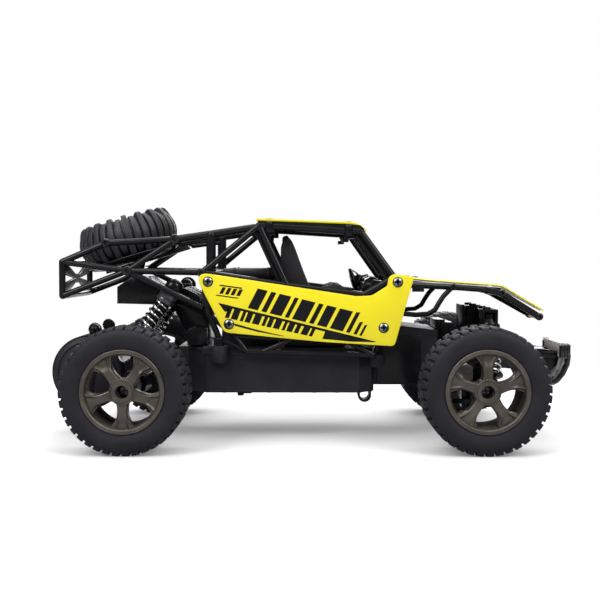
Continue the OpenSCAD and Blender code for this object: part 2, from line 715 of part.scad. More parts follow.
module tyre() {
    bead = rim_d / 2 + gap;
    lip = rim_d / 2 + 1;
    crown = tyre_d / 2;
    translate([0, wheel_y, axle_z]) rotate([-90, 0, 0]) rotate_extrude()
        polygon([[bead, -tyre_w / 2 + 3.6], [lip, -tyre_w / 2 + 0.6], [crown - 6, -tyre_w / 2],
                 [crown - 1.6, -tyre_w / 2 + 1.4], [crown, -tyre_w / 2 + 4], [crown, tyre_w / 2 - 4],
                 [crown - 1.6, tyre_w / 2 - 1.4], [crown - 6, tyre_w / 2], [lip, tyre_w / 2 - 0.4],
                 [lip, tyre_w / 2 - 2], [bead, tyre_w / 2 - 2.4]]);
}

// One spoke points up, turned by `turn` degrees about the axle.
module rim(turn = 0) {
    r = rim_d / 2;
    hub_r = 5.4;
    face = overall_w / 2 - 3;     // front of the spokes
    color([0.36, 0.32, 0.28]) difference() {
        union() {
            translate([0, 0, axle_z]) {
                difference() {
                    union() {
                        rod_y([0, 0], r, rim_in, rim_out);
                        rod_y([0, 0], r + 0.8, rim_out - 0.8, rim_out + 0.4);
                    }
                    rod_y([0, 0], r - rim_wall, rim_in - 1, rim_out + 2);
                }
                for (i = [0 : spokes - 1]) rotate([0, turn + i * 360 / spokes, 0]) slab_y(face - 4, face)
                    polygon([[-2.8, 4], [2.8, 4], [3, 11], [5, r - 0.8], [-5, r - 0.8], [-3, 11]]);
                rod_y([0, 0], hub_r, rim_in + 3, face + 1);
            }
        }
        translate([0, 0, axle_z]) {
            rod_y([0, 0], axle_d / 2 + gap, 0, screw_y + 1);
            rod_y([0, 0], 2.7, screw_y, 90);
        }
    }
}

// ---- rear axle and gearbox ----

// Outline of the gear chamber in [x, z], grown by `g`.
module chamber_outline(g) {
    hull() {
        translate([rear_x, axle_z]) circle(r = 14.9 + g, $fn = 32);
        translate(idler) circle(r = 11.9 + g, $fn = 32);
        translate(motor) circle(r = 8 + g, $fn = 32);
    }
}

can_r = 12.2;          // drive motor
drum_r = motor[0] - rear_end;     // round housing over the motor
case_y = [6, 20.4];    // gear chamber
case_wall = 1.2;

// Left-hand lug and pin for the foot of a rear shock.
module shock_lug() {
    lug = rear_shock_low;
    slab_y(22.5, 24.8) polygon([[rear_x - 5.5, 27], [rear_x + 5, 31], [lug[0] + 2.6, lug[1] + 2.4],
                                [lug[0] - 2.8, lug[1] + 1.5]]);
    rod_y(lug, 1.4, 24, 31.8);
}

// Left-hand bearing seat and axle clearance in the end of the axle tube.
module bearing_seat() {
    rod_y([rear_x, axle_z], 3, 0, 60);
    rod_y([rear_x, axle_z], 4.5 + 0.02, 46, 51);
}

module gearbox_case() {
    bar = [-105, 53.4];
    color([0.09, 0.09, 0.10]) difference() {
        union() {
            rod_y([rear_x, axle_z], 6.5, -50, case_y[0] + 1);
            rod_y(motor, drum_r, -20, case_y[0] + 2);
            slab_y(case_y[0], case_y[1]) chamber_outline(case_wall);
            block([-104, -20, 22], [rear_x, case_y[0] + 1, 36]);
            on_right() shock_lug();
            // trailing arms to the swing pivot
            both_sides() {
                slab_y(14, 18.9) polygon([[rear_x - 2, 23.5], [swing[0], swing[1] - 3.2],
                                          [swing[0], swing[1] + 3.2], [rear_x - 2, 34.5]]);
                rod_y(swing, 3.3, 14, 18.9);
            }
            // flat top with a round knob at each side
            block([bar[0] - 4.5, -19.8, 44], [bar[0] + 4.5, case_y[0] + 1, 50.6]);
            block([bar[0] - 2.5, case_y[0], 44], [bar[0] + 2.5, 18, 51.2]);
            both_sides() {
                rod_y(bar, 2.9, 17, 21);
                translate([bar[0], 21, bar[1]]) sphere(r = 2.9);
                block([bar[0] - 2.5, 17.2, 44], [bar[0] + 2.5, 19.6, bar[1]]);
            }
        }
        slab_y(case_y[0] + 1.6, case_y[1] + 1) chamber_outline(0);
        rod_y(motor, can_r + 0.2, -17.8, case_y[0] - 1);
        rod_y(motor, 4, -10, case_y[1]);
        rod_y([rear_x, axle_z], 3, -1, 20);
        on_right() bearing_seat();
        rod_y(swing, 1.5 + gap, -30, 30);
        rod_y(idler, 1 + 0.02, 5.5, case_y[0] + 2);
    }
}

module gearbox_cover() {
    y = case_y[1];
    color([0.10, 0.10, 0.11]) difference() {
        union() {
            slab_y(y + gap, y + 2) chamber_outline(case_wall);
            rod_y(idler, 1, 6.2, y + 1);
            rod_y([rear_x, axle_z], 6.5, y + gap, 50);
            shock_lug();
        }
        bearing_seat();
    }
}

module drive_motor() {
    color([0.72, 0.72, 0.74]) difference() {
        union() {
            rod_y(motor, can_r, -17.5, case_y[0] - 1.3);
            rod_y(motor, 3.2, case_y[0] - 2, case_y[0] - 0.2);
        }
        rod_y(motor, 1 + gap, -10, 40);
    }
}

// Point where an involute of base radius b reaches radius r, as [angle].
function involute(b, r) = let (t = sqrt((r / b) ^ 2 - 1)) t * 180 / PI - atan(t);

// Points of a gear outline, tooth 0 centred on +X.
function gear_points(m, teeth, slack) =
    let (pitch = m * teeth / 2, b = pitch * cos(20), tip = pitch + 0.85 * m, root = pitch - 1.2 * m,
         low = max(b, root) + 0.001, half = 90 / teeth - slack * 90 / (PI * pitch) + involute(b, pitch))
    [for (i = [0 : teeth - 1]) let (c = i * 360 / teeth)
        for (k = [0 : 9]) let (
            side = k < 5 ? -1 : 1,
            step = k < 5 ? k : 9 - k,
            r = step == 0 ? root : low + (tip - low) * (step - 1) / 3,
            a = c + side * (half - (step == 0 ? 0 : involute(b, r))))
        [r * cos(a), r * sin(a)]];

module gear(at, m, teeth, y0, y1, turn, slack = 0.16) {
    slab_y(y0, y1) translate(at) rotate(turn) polygon(gear_points(m, teeth, slack));
}

module spur_gear() {
    color([0.85, 0.85, 0.82]) difference() {
        union() {
            gear([rear_x, axle_z], axle_module, spur_teeth, gear_y[0], gear_y[0] + 5, idler_angle);
            rod_y([rear_x, axle_z], 5, gear_y[0], gear_y[0] + 10);
        }
        rod_y([rear_x, axle_z], axle_d / 2 + 0.02, 0, 40);
    }
}

module idler_gear() {
    color([0.85, 0.85, 0.82]) difference() {
        union() {
            gear(idler, axle_module, idler_small, gear_y[0], gear_y[1] + 1, idler_angle + 180 + 180 / idler_small);
            gear(idler, motor_module, idler_large, gear_y[1] + 1, gear_y[1] + 4.5, pinion_angle);
        }
        rod_y(idler, 1 + gap, 0, 40);
    }
}

module motor_pinion() {
    color([0.80, 0.68, 0.35]) {
        gear(motor, motor_module, pinion_teeth, gear_y[1], gear_y[1] + 5.5, pinion_angle + 180 + 180 / pinion_teeth);
        rod_y(motor, 1, -8, gear_y[1] + 5);
    }
}

module rear_axle() {
    color([0.75, 0.76, 0.78]) rod_y([rear_x, axle_z], axle_d / 2, -screw_y, screw_y);
}

module axle_bearings() {
    color([0.75, 0.76, 0.78]) for (s = [-1, 1]) difference() {
        rod_y([rear_x, axle_z], 4.5, s * 48 - 2, s * 48 + 2);
        rod_y([rear_x, axle_z], axle_d / 2 + gap, s * 48 - 3, s * 48 + 3);
    }
}

module rear_wheel_screws() {
    color([0.75, 0.76, 0.78]) both_sides() rod_y([rear_x, axle_z], 2.4, screw_y + gap, screw_y + 1.8);
}

// ---- spare wheel, battery and electronics ----

module at_spare() { translate([-91, 0, 99]) rotate([0, -spare_tilt, 0]) children(); }

module spare_tyre() {
    r = spare_d / 2;
    h = spare_w / 2;
    color([0.10, 0.10, 0.10]) at_spare() rotate_extrude()
        polygon([[16.1, -h + 1], [r - 7, -h], [r - 3.6, -h + 1], [r - 1.2, -h + 3.2], [r, -h + 6.4], [r, h - 6.4],
                 [r - 1.2, h - 3.2], [r - 3.6, h - 1], [r - 7, h], [16.1, h - 1]]);
}

module spare_rim() {
    h = spare_w / 2;
    color([0.36, 0.32, 0.28]) at_spare() difference() {
        union() {
            difference() {
                translate([0, 0, -h + 1]) cylinder(r = 16, h = 2 * h - 2);
                translate([0, 0, -h]) cylinder(r = 14.4, h = 2 * h);
            }
            for (i = [0 : spokes - 1]) rotate([0, 0, i * 360 / spokes]) block([2, -2.6, h - 6], [15, 2.6, h - 3]);
            translate([0, 0, -h + 1]) cylinder(r = 5, h = 2 * h - 3);
        }
        translate([0, 0, -h - 1]) cylinder(r = 3.1, h = 10);
    }
}

module battery_pack() {
    color([0.15, 0.30, 0.62]) union() {
        for (i = [-1, 1]) rod_x([i * 7, 33], 6.9, -26, 22);
        block([-26, -7, 26.2], [22, 7, 39.8]);
    }
}

module circuit_board() {
    color([0.10, 0.38, 0.20]) union() {
        block([-53, -16, 33], [-29, 16, 34.6]);
        block([-50, -10, 34.5], [-42, 0, 37]);
        block([-38, 4, 34.5], [-32, 12, 38]);
        for (y = [-12, -6, 0]) translate([-34, y, 34.5]) cylinder(r = 2, h = 5);
        for (x = [-51, -31]) translate([x, 0, 25.35]) cylinder(r = 1.6, h = 8);
    }
}

// ---- assembly ----

rubber = [0.13, 0.13, 0.14];

// Moves a shape from the middle of the wheelbase to the middle of the whole length.
module place() { translate([-(front_end + rear_end) / 2, 0, 0]) children(); }

place() chassis_tub();
place() chassis_cover();
place() roll_cage();
place() rear_rack();
place() on_right() side_panel();  // side_panel_right
place() side_panel();  // side_panel_left
place() roof_panel();
place() hood_panel();
place() panel_screws();
place() seats();
place() dashboard();
place() cab_steering_wheel();
place() engine_block();
place() spare_tyre();
place() spare_rim();
place() battery_pack();
place() circuit_board();
place() steering_servo();
place() steering_crank();
place() tie_rod();
place() front_shock_tower();
place() rear_deck();
place() front_bumper();
place() suspension_pins();
place() battery_door();
place() power_switch();
place() on_right() lower_arm();  // lower_arm_right
place() on_right() upper_arm();  // upper_arm_right
place() on_right() carrier();  // carrier_right
place() on_right() knuckle();  // knuckle_right
place() on_right() translate([front_x, 0, 0]) rim();  // front_rim_right
place() color(rubber) on_right() translate([front_x, 0, 0]) tyre();  // front_tyre_right
place() on_right() at_front() shock_body(front_len);  // front_shock_body_right
place() on_right() at_front() shock_rod(front_len);  // front_shock_rod_right
place() on_right() at_front() coil(front_len, 8);  // front_spring_right
place() lower_arm();  // lower_arm_left
place() upper_arm();  // upper_arm_left
place() carrier();  // carrier_left
place() knuckle();  // knuckle_left
place() translate([front_x, 0, 0]) rim();  // front_rim_left
place() color(rubber) translate([front_x, 0, 0]) tyre();  // front_tyre_left
place() at_front() shock_body(front_len);  // front_shock_body_left
place() at_front() shock_rod(front_len);  // front_shock_rod_left
place() at_front() coil(front_len, 8);  // front_spring_left
place() gearbox_case();
place() gearbox_cover();
place() drive_motor();
place() motor_pinion();
place() idler_gear();
place() spur_gear();
place() rear_axle();
place() axle_bearings();
place() on_right() translate([rear_x, 0, 0]) rim(180);  // rear_rim_right
place() color(rubber) on_right() translate([rear_x, 0, 0]) tyre();  // rear_tyre_right
place() translate([rear_x, 0, 0]) rim(180);  // rear_rim_left
place() color(rubber) translate([rear_x, 0, 0]) tyre();  // rear_tyre_left
place() rear_wheel_screws();
place() at_rear() shock_body(rear_len);  // rear_shock_bodies
place() at_rear() shock_rod(rear_len);  // rear_shock_rods
place() at_rear() coil(rear_len, 9);  // rear_springs
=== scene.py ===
import json
from math import cos, degrees, pi, radians, sin

import bmesh
import bpy
from mathutils import Matrix, Vector


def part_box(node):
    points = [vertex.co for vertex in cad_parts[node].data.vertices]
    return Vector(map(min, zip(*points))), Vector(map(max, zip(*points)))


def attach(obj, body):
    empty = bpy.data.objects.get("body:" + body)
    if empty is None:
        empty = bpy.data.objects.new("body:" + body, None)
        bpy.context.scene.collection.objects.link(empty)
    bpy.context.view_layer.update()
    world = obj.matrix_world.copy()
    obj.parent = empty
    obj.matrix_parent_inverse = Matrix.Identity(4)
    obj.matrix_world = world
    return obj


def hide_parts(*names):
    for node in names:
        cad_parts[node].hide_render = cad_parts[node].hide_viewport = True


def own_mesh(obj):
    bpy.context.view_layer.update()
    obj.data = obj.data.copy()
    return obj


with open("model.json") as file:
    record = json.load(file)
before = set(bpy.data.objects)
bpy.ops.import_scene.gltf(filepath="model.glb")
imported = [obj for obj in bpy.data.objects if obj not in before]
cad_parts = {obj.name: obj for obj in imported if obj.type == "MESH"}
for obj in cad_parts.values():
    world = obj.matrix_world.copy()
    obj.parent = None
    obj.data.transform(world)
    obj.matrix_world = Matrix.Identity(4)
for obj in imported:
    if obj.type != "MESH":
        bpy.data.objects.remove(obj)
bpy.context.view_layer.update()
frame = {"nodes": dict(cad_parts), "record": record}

MM = 0.001

# Shapes below are in millimetres, from a point on the ground midway between the axles, as in the CAD source.
# +X is forward, +Y is the buggy's left, +Z is up.


def middle(node):
    low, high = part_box(node)
    return (Vector(low) + Vector(high)) / 2


MID_X = (middle("front_rim_left").x + middle("rear_rim_left").x) / 2
FRONT_X = (middle("front_rim_left").x - MID_X) / MM
REAR_X = -FRONT_X
AXLE_Z = middle("rear_rim_left").z / MM
HALF_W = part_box("rear_tyre_left")[1][1] / MM
TYRE_R = AXLE_Z
TYRE_W = HALF_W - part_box("rear_tyre_left")[0][1] / MM
JOINTS = {j["name"]: j for j in frame["record"]["behaviour"]["joints"]}
SIDES = (("right", -1), ("left", 1))


def span(node):
    """Lowest and highest corners of a CAD node, in this script's millimetres."""
    low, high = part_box(node)
    shift = Vector((MID_X, 0, 0))
    return (Vector(low) - shift) / MM, (Vector(high) - shift) / MM


# ---- materials ----

def node_maker(tree):
    """A short way to add a node: new("Bump", Strength=0.2) sets inputs by name, and links sockets."""
    def new(kind, out=0, **inputs):
        n = tree.nodes.new("ShaderNode" + kind)
        for name, value in inputs.items():
            socket = n.inputs[name.replace("_", " ")]
            if isinstance(value, bpy.types.NodeSocket):
                tree.links.new(value, socket)
            else:
                socket.default_value = value
        return n
    return new


def material(name, colour, rough=0.5, metal=0.0, grain=1500.0, bump=0.12, mottle=0.12, edge_highlight=0.2, coat=0.0,
             flake=0.0, streak=None, specular=0.5):
    """Moulded, painted or machined surface: cloudy colour, uneven gloss, fine grain and paler sharp edges, a
    painted highlight.
    """
    mat = bpy.data.materials.new(name)
    mat.use_nodes = True
    tree = mat.node_tree
    new = node_maker(tree)
    shader = tree.nodes["Principled BSDF"]
    place = tree.nodes.new("ShaderNodeTexCoord").outputs["Object"]
    if streak:
        mapped = new("Mapping", Vector=place)
        mapped.inputs["Scale"].default_value = streak
        place = mapped.outputs[0]
    clouds = new("TexNoise", Vector=place, Scale=90.0, Detail=4.0, Roughness=0.6).outputs[0]
    fine = new("TexNoise", Vector=place, Scale=grain, Detail=3.0, Roughness=0.7).outputs[0]
    dark = [c * (1 - mottle) for c in colour[:3]] + [1]
    pale = [min(1, c * (1 + mottle) + 0.002) for c in colour[:3]] + [1]
    tone = new("ValToRGB", Fac=clouds)
    tone.color_ramp.elements[0].position = 0.35
    tone.color_ramp.elements[1].position = 0.65
    tone.color_ramp.elements[0].color = dark
    tone.color_ramp.elements[1].color = pale
    # sharp edges, found by pointiness, turn paler: a painted highlight along every edge
    edge = new("ValToRGB", Fac=tree.nodes.new("ShaderNodeNewGeometry").outputs["Pointiness"])
    edge.color_ramp.elements[0].position = 0.52
    edge.color_ramp.elements[1].position = 0.62
    edge.color_ramp.elements[1].color = (edge_highlight, edge_highlight, edge_highlight, 1)
    edge_highlight_colour = [min(1, c * 1.6 + 0.05) for c in colour[:3]] + [1]
    mix = tree.nodes.new("ShaderNodeMix")
    mix.data_type = "RGBA"
    tree.links.new(edge.outputs[0], mix.inputs["Factor"])
    tree.links.new(tone.outputs[0], mix.inputs["A"])
    mix.inputs["B"].default_value = edge_highlight_colour
    tree.links.new(mix.outputs["Result"], shader.inputs["Base Color"])
    gloss = new("MapRange", Value=clouds)
    gloss.inputs["From Min"].default_value = 0.3
    gloss.inputs["From Max"].default_value = 0.7
    gloss.inputs["To Min"].default_value = max(0.04, rough - 0.07)
    gloss.inputs["To Max"].default_value = min(1, rough + 0.07)
    tree.links.new(gloss.outputs[0], shader.inputs["Roughness"])
    height = new("Bump", Height=fine, Strength=bump, Distance=0.00012)
    tree.links.new(height.outputs[0], shader.inputs["Normal"])
    shader.inputs["Metallic"].default_value = metal
    shader.inputs["Coat Weight"].default_value = coat
    shader.inputs["Coat Roughness"].default_value = 0.12
    shader.inputs["Specular IOR Level"].default_value = specular
    if flake:
        specks = new("TexVoronoi", Vector=place, Scale=2600.0).outputs["Color"]
        sparkle = new("Bump", Height=specks, Strength=flake, Distance=0.00005)
        tree.links.new(height.outputs[0], sparkle.inputs["Normal"])
        tree.links.new(sparkle.outputs[0], shader.inputs["Normal"])
    return mat


BLACK = material("satin_black_plastic", (0.0030, 0.0028, 0.0040), rough=0.22, bump=0.06, edge_highlight=0.1,
                 specular=0.2)
DARK = material("matt_dark_plastic", (0.0085, 0.0080, 0.0115), rough=0.5, bump=0.2, edge_highlight=0.12, specular=0.24)
# deep black plastic of the hubs, dish and bar ends; also the painted shade in the wheel screws' recesses
DEEP = material("deep_black_plastic_and_recess_shade", (0.004, 0.004, 0.005), rough=0.26, bump=0.06, edge_highlight=0.3, specular=0.4)
GLOSS = material("glossy_black_plastic", (0.004, 0.004, 0.005), rough=0.2, bump=0.03, edge_highlight=0.2, specular=0.5)
SEAT = material("seat_black_plastic", (0.0095, 0.0092, 0.0115), rough=0.6, grain=2600, bump=0.4, edge_highlight=0.1,
                specular=0.3)
YELLOW = material("yellow_panel_plastic", (0.78, 0.665, 0.014), rough=0.36, grain=700, bump=0.03, mottle=0.02,
                  edge_highlight=0.1, coat=0.2, specular=0.3)
# black print; also the painted shade round the side panel screws and in the panel screws' recesses
PRINT_AND_SHADE = material("black_print_and_painted_shade", (0.003, 0.003, 0.004), rough=0.42, bump=0.03, mottle=0.05, edge_highlight=0.0,
                 specular=0.2)
RUBBER = material("tyre_rubber", (0.0110, 0.0106, 0.0150), rough=0.62, grain=2200, bump=0.3, mottle=0.14,
                  edge_highlight=0.15, specular=0.2)
SPARE_RUBBER = material("spare_rubber", (0.020, 0.0195, 0.0225), rough=0.5, grain=1800, bump=0.3, edge_highlight=0.2,
                        specular=0.35)
BRONZE = material("bronze_wheel_paint", (0.094, 0.082, 0.069), rough=0.34, metal=0.70, bump=0.08, edge_highlight=0.35,
                  mottle=0.26, flake=0.06)
SILVER = material("silver_grey_paint", (0.29, 0.282, 0.276), rough=0.3, metal=0.55, bump=0.06, edge_highlight=0.3,
                  flake=0.08)
CHROME = material("bright_plated_steel", (0.66, 0.655, 0.65), rough=0.15, metal=1.0, bump=0.04, mottle=0.06)
STEEL = material("turned_steel", (0.42, 0.42, 0.43), rough=0.3, metal=1.0, streak=(1, 12, 1), bump=0.15)
COLLAR = material("grey_anodised_collar", (0.10, 0.10, 0.105), rough=0.34, metal=0.6, bump=0.06)
SCREW = material("dark_plated_screw", (0.23, 0.23, 0.24), rough=0.3, metal=1.0, bump=0.05, mottle=0.1)
NYLON = material("natural_nylon", (0.68, 0.66, 0.60), rough=0.45, bump=0.1, mottle=0.05)
BRASS = material("brass", (0.62, 0.43, 0.14), rough=0.25, metal=1.0, bump=0.06)
WRAP = material("blue_cell_wrap", (0.02, 0.10, 0.36), rough=0.2, bump=0.05, coat=0.5)
BOARD = material("green_board", (0.01, 0.12, 0.05), rough=0.35, bump=0.1, coat=0.4)


# ---- building solids ----

def outward(side, near, far):
    """Y range between two distances from the car's middle on one side, with its low end first."""
    return sorted((side * near, side * far))


def round_corners(corners, steps=5):
    """Outline from corners given as (x, y, radius), with the arcs filled in."""
    points = []
    count = len(corners)
    for i, (x, y, radius) in enumerate(corners):
        here = Vector((x, y))
        if not radius:
            points.append((x, y))
            continue
        back = (Vector(corners[i - 1][:2]) - here).normalized()
        ahead = (Vector(corners[(i + 1) % count][:2]) - here).normalized()
        half = back.angle(ahead) / 2
        reach = radius / max(0.05, abs(sin(half) / cos(half)))
        start = here + back * reach
        end = here + ahead * reach
        for k in range(steps + 1):
            t = k / steps
            points.append(tuple(start * (1 - t) ** 2 + here * 2 * t * (1 - t) + end * t ** 2))
    return points


class Shape:
    """Closed solids collected in one mesh, in millimetres."""

    def __init__(self):
        self.bm = bmesh.new()
        self.turn = Matrix()

    def vert(self, p):
        return self.bm.verts.new(self.turn @ Vector(p))

    def box(self, low, high, taper=0.0, axis=2):
        """Block between two corners. Its far end along axis is smaller by taper on each side."""
        rings = []
        u, v = [(1, 2), (2, 0), (0, 1)][axis]
        for end, inset in ((low[axis], 0), (high[axis], taper)):
            ring = []
            for su, sv in ((0, 0), (1, 0), (1, 1), (0, 1)):
                p = [0, 0, 0]
                p[axis] = end
                p[u] = high[u] - inset if su else low[u] + inset
                p[v] = high[v] - inset if sv else low[v] + inset
                ring.append(self.vert(p))
            rings.append(ring)
        self.skin(rings)
        return self

    def side_box(self, side, x, y, z, taper=0.0):
        """Block on one side of the car, from ranges in X, in distance from its middle, and in Z."""
        low, high = outward(side, *y)
        return self.box((x[0], low, z[0]), (x[1], high, z[1]), taper)

    def skin(self, rings, loop=False):
        """Joins rings of equal length. Open ends are capped."""
        count = len(rings[0])
        pairs = list(zip(rings, rings[1:]))
        if loop:
            pairs.append((rings[-1], rings[0]))
        for a, b in pairs:
            for k in range(count):
                n = (k + 1) % count
                self.bm.faces.new((a[k], a[n], b[n], b[k]))
        if not loop:
            self.bm.faces.new(rings[0][::-1])
            self.bm.faces.new(rings[-1])

    def prism(self, outline, low, high, axis=1):
        """Outline in the other two axes, in X, Y, Z order, with its thickness from low to high along axis."""
        others = [i for i in range(3) if i != axis]
        rings = []
        for end in (low, high):
            ring = []
            for p in outline:
                q = [0, 0, 0]
                q[axis] = end
                q[others[0]], q[others[1]] = p
                ring.append(self.vert(q))
            rings.append(ring)
        self.skin(rings)
        return self

    def lathe(self, profile, at=(0, 0, 0), axis=1, steps=64, arc=None):
        """Turns a closed profile of (radius, place along the axis) about an axis through at."""
        u, v = [(1, 2), (2, 0), (0, 1)][axis]
        low, high = arc or (0, 360)
        rings = []
        for i in range(steps if arc is None else steps + 1):
            a = radians(low + (high - low) * i / steps)
            ring = []
            for radius, t in profile:
                p = list(at)
                p[axis] += t
                p[u] += radius * cos(a)
                p[v] += radius * sin(a)
                ring.append(self.vert(p))
            rings.append(ring)
        self.skin(rings, loop=arc is None)
        return self

    def disc(self, r, low, high, at=(0, 0, 0), axis=1, steps=32, soft=0.3):
        """Cylinder with softened rims."""
        s = min(soft, r * 0.4, (high - low) * 0.4)
        q = s * 0.3
        rings = [(r - s, low), (r - q, low + q), (r, low + s),
                 (r, high - s), (r - q, high - q), (r - s, high)]
        u, v = [(1, 2), (2, 0), (0, 1)][axis]
        loops = []
        for radius, t in rings:
            ring = []
            for i in range(steps):
                a = 2 * pi * i / steps
                p = list(at)
                p[axis] += t
                p[u] += radius * cos(a)
                p[v] += radius * sin(a)
                ring.append(self.vert(p))
            loops.append(ring)
        self.skin(loops)
        return self

    def ball(self, at, r, steps=16):
        made = bmesh.ops.create_uvsphere(self.bm, u_segments=steps, v_segments=steps // 2, radius=r)
        bmesh.ops.transform(self.bm, verts=made["verts"], matrix=self.turn @ Matrix.Translation(at))
        return self

    def sweep(self, points, r, steps=12):
        """Round bar along a path of points."""
        path = [Vector(p) for p in points]
        rings = []
        side = (path[1] - path[0]).orthogonal().normalized()
        for i, p in enumerate(path):
            along = (path[min(i + 1, len(path) - 1)] - path[max(i - 1, 0)]).normalized()
            side = (side - along * side.dot(along)).normalized()
            up = along.cross(side)
            rings.append([self.vert(p + (side * cos(a) + up * sin(a)) * r)
                          for a in (2 * pi * k / steps for k in range(steps))])
        self.skin(rings)
        return self

    def tube(self, points, r, steps=14):
        """Round bars between points, with a ball at each bend."""
        for a, b in zip(points, points[1:]):
            self.sweep([a, b], r, steps)
        for p in points:
            self.ball(p, r, steps)
        return self

    def hub(self, at, r, wide, side):
        """Round boss across a joint of the cage, with a dimple in its outer face."""
        profile = [(0.01, -wide), (r - 0.4, -wide), (r, 0.4 - wide), (r, wide - 0.5), (r - 0.5, wide),
                   (1.0, wide), (0.8, wide - 0.9), (0.01, wide - 1.0)]
        self.lathe([(radius, y * side) for radius, y in profile], at, steps=28)
        return self

    def grid(self, rows):
        """Closed shell from rows of points that run round it; the first and last rows are capped."""
        self.skin([[self.vert(p) for p in row] for row in rows])
        return self

    def make(self, name, body, mat, bevel=0.0, steps=2, smooth=38, stands_for=()):
        """Turns the solids into one piece that rides on a body."""
        bm = self.bm
        bmesh.ops.remove_doubles(bm, verts=bm.verts, dist=1e-4)
        bmesh.ops.recalc_face_normals(bm, faces=bm.faces)
        bmesh.ops.transform(bm, verts=bm.verts,
                            matrix=Matrix.Translation((MID_X, 0, 0)) @ Matrix.Scale(MM, 4))
        mesh = bpy.data.meshes.new(name)
        bm.to_mesh(mesh)
        bm.free()
        piece = bpy.data.objects.new(name, mesh)
        bpy.context.scene.collection.objects.link(piece)
        if bevel:
            round_edges(piece, bevel, steps)
        bake(piece, smooth)
        piece.data.materials.clear()
        piece.data.materials.append(mat)
        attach(piece, body)
        if stands_for:
            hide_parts(*stands_for)
        return piece


def round_edges(piece, width, steps=2):
    edge = piece.modifiers.new("edges", "BEVEL")
    edge.width = width * MM
    edge.segments = steps
    edge.limit_method = "ANGLE"
    edge.angle_limit = radians(32)


def bake(piece, smooth=38):
    """Applies the modifiers and shades smooth up to an angle."""
    if piece.modifiers:
        graph = bpy.context.evaluated_depsgraph_get()
        graph.update()
        old = piece.data
        piece.data = bpy.data.meshes.new_from_object(piece.evaluated_get(graph))
        piece.modifiers.clear()
        bpy.data.meshes.remove(old)
    for face in piece.data.polygons:
        face.use_smooth = True
    piece.data.set_sharp_from_angle(angle=radians(smooth))


def dress(node, mat, bevel=0.25):
    """Keeps a CAD node as it is, with rounded edges and a material."""
    piece = frame["nodes"][node]
    piece.data.materials.clear()
    piece.data.materials.append(mat)
    weld = piece.modifiers.new("weld", "WELD")
    weld.merge_threshold = 0.002 * MM
    if bevel:
        round_edges(piece, bevel)


# ---- wheels ----

LUGS = 40                # blocks in each row of the tread
LUG_WIDE = 3.3           # along the circumference
LUG_LEAN = 0.28          # share of half a block by which the blocks trail
SHOULDER_LAG = 0.12      # share of a pitch by which the shoulder rows trail the centre ones


def road_tyre(name, at, body, node):
    """Smooth round-shouldered carcass with a centre and a shoulder row of blocks on each half."""
    half = TYRE_W / 2
    base = TYRE_R - 1.4
    root = base - 1.4
    flank = [(18.3, half - 2.9), (18.75, half - 1.5), (19.7, half - 0.75), (20.6, half - 0.55),
             (21.6, half - 0.12), (23.5, half), (25.4, half - 0.15), (26.5, half - 0.55), (27.35, half - 1.15),
             (27.6, half - 2.0), (base - 0.1, half - 3.2)]
    shoulder = [(root, half - 7.4), (TYRE_R - 0.35, half - 7.3), (TYRE_R, half - 6.95), (TYRE_R, half - 2.6),
                (TYRE_R - 0.6, half - 1.5), (root, half - 0.8)]
    centre = [(root, 0.5), (TYRE_R - 0.35, 0.6), (TYRE_R, 0.95), (TYRE_R, half - 8.5),
              (TYRE_R - 0.3, half - 8.2), (root, half - 8.1)]
    reach = degrees(LUG_WIDE / 2 / TYRE_R)
    s = Shape()
    s.lathe(flank + [(r, -y) for r, y in reversed(flank)], at, steps=144)
    for outline, lag in ((shoulder, SHOULDER_LAG), (centre, 0)):
        for out in (-1, 1):
            for i in range(LUGS):
                turn = 360 * (i + lag + (0.5 if out < 0 else 0)) / LUGS + reach * LUG_LEAN
                s.lathe([(r, y * out) for r, y in outline], at, steps=2, arc=(turn - reach, turn + reach))
    return s.make(name, body, RUBBER, bevel=0.2, steps=2, smooth=50, stands_for=[node])


# half width of a spoke at each radius, and the places across it where its front is shaped
SPOKE = ((4.4, 2.9), (5.4, 2.75), (6.8, 2.5), (8.2, 2.35), (9.6, 2.35), (11.0, 2.5), (12.2, 2.85),
         (13.2, 3.35), (14.2, 4.0), (15.2, 4.85), (16.0, 5.7), (16.9, 6.9))
STEPS = (-1.0, -0.93, -0.82, -0.66, -0.6, -0.42, -0.2, 0.2, 0.42, 0.6, 0.66, 0.82, 0.93, 1.0)


def spoke(s, at, turn, across):
    """Waisted spoke with a raised middle that forks into two ridges as it flares into the ring."""
    a = radians(turn)

    def point(x, r, depth):
        return at[0] + x * cos(a) + r * sin(a), across(depth), at[2] + r * cos(a) - x * sin(a)

    rows = []
    for r, w in SPOKE:
        flare = min(1, max(0, (r - 10.5) / 3.5))
        front = []
        for t in STEPS:
            edge = abs(t)
            plain = 0.9 + 1.2 * max(0, (edge - 0.75) / 0.25) ** 1.5
            fork = (1.0 + (0.8 if edge < 0.45 else 0.0) + (0.95 if edge > 0.8 else 0.0)
                    + 0.3 * abs(edge - 0.62))
            front.append(point(t * w, r, plain * (1 - flare) + fork * flare - (0.15 if r < 6 else 0)))
        back = [point(t * w, r, 6.4) for t in (1.0, 0.5, 0.0, -0.5, -1.0)]
        rows.append(front + back)
    s.grid(rows)


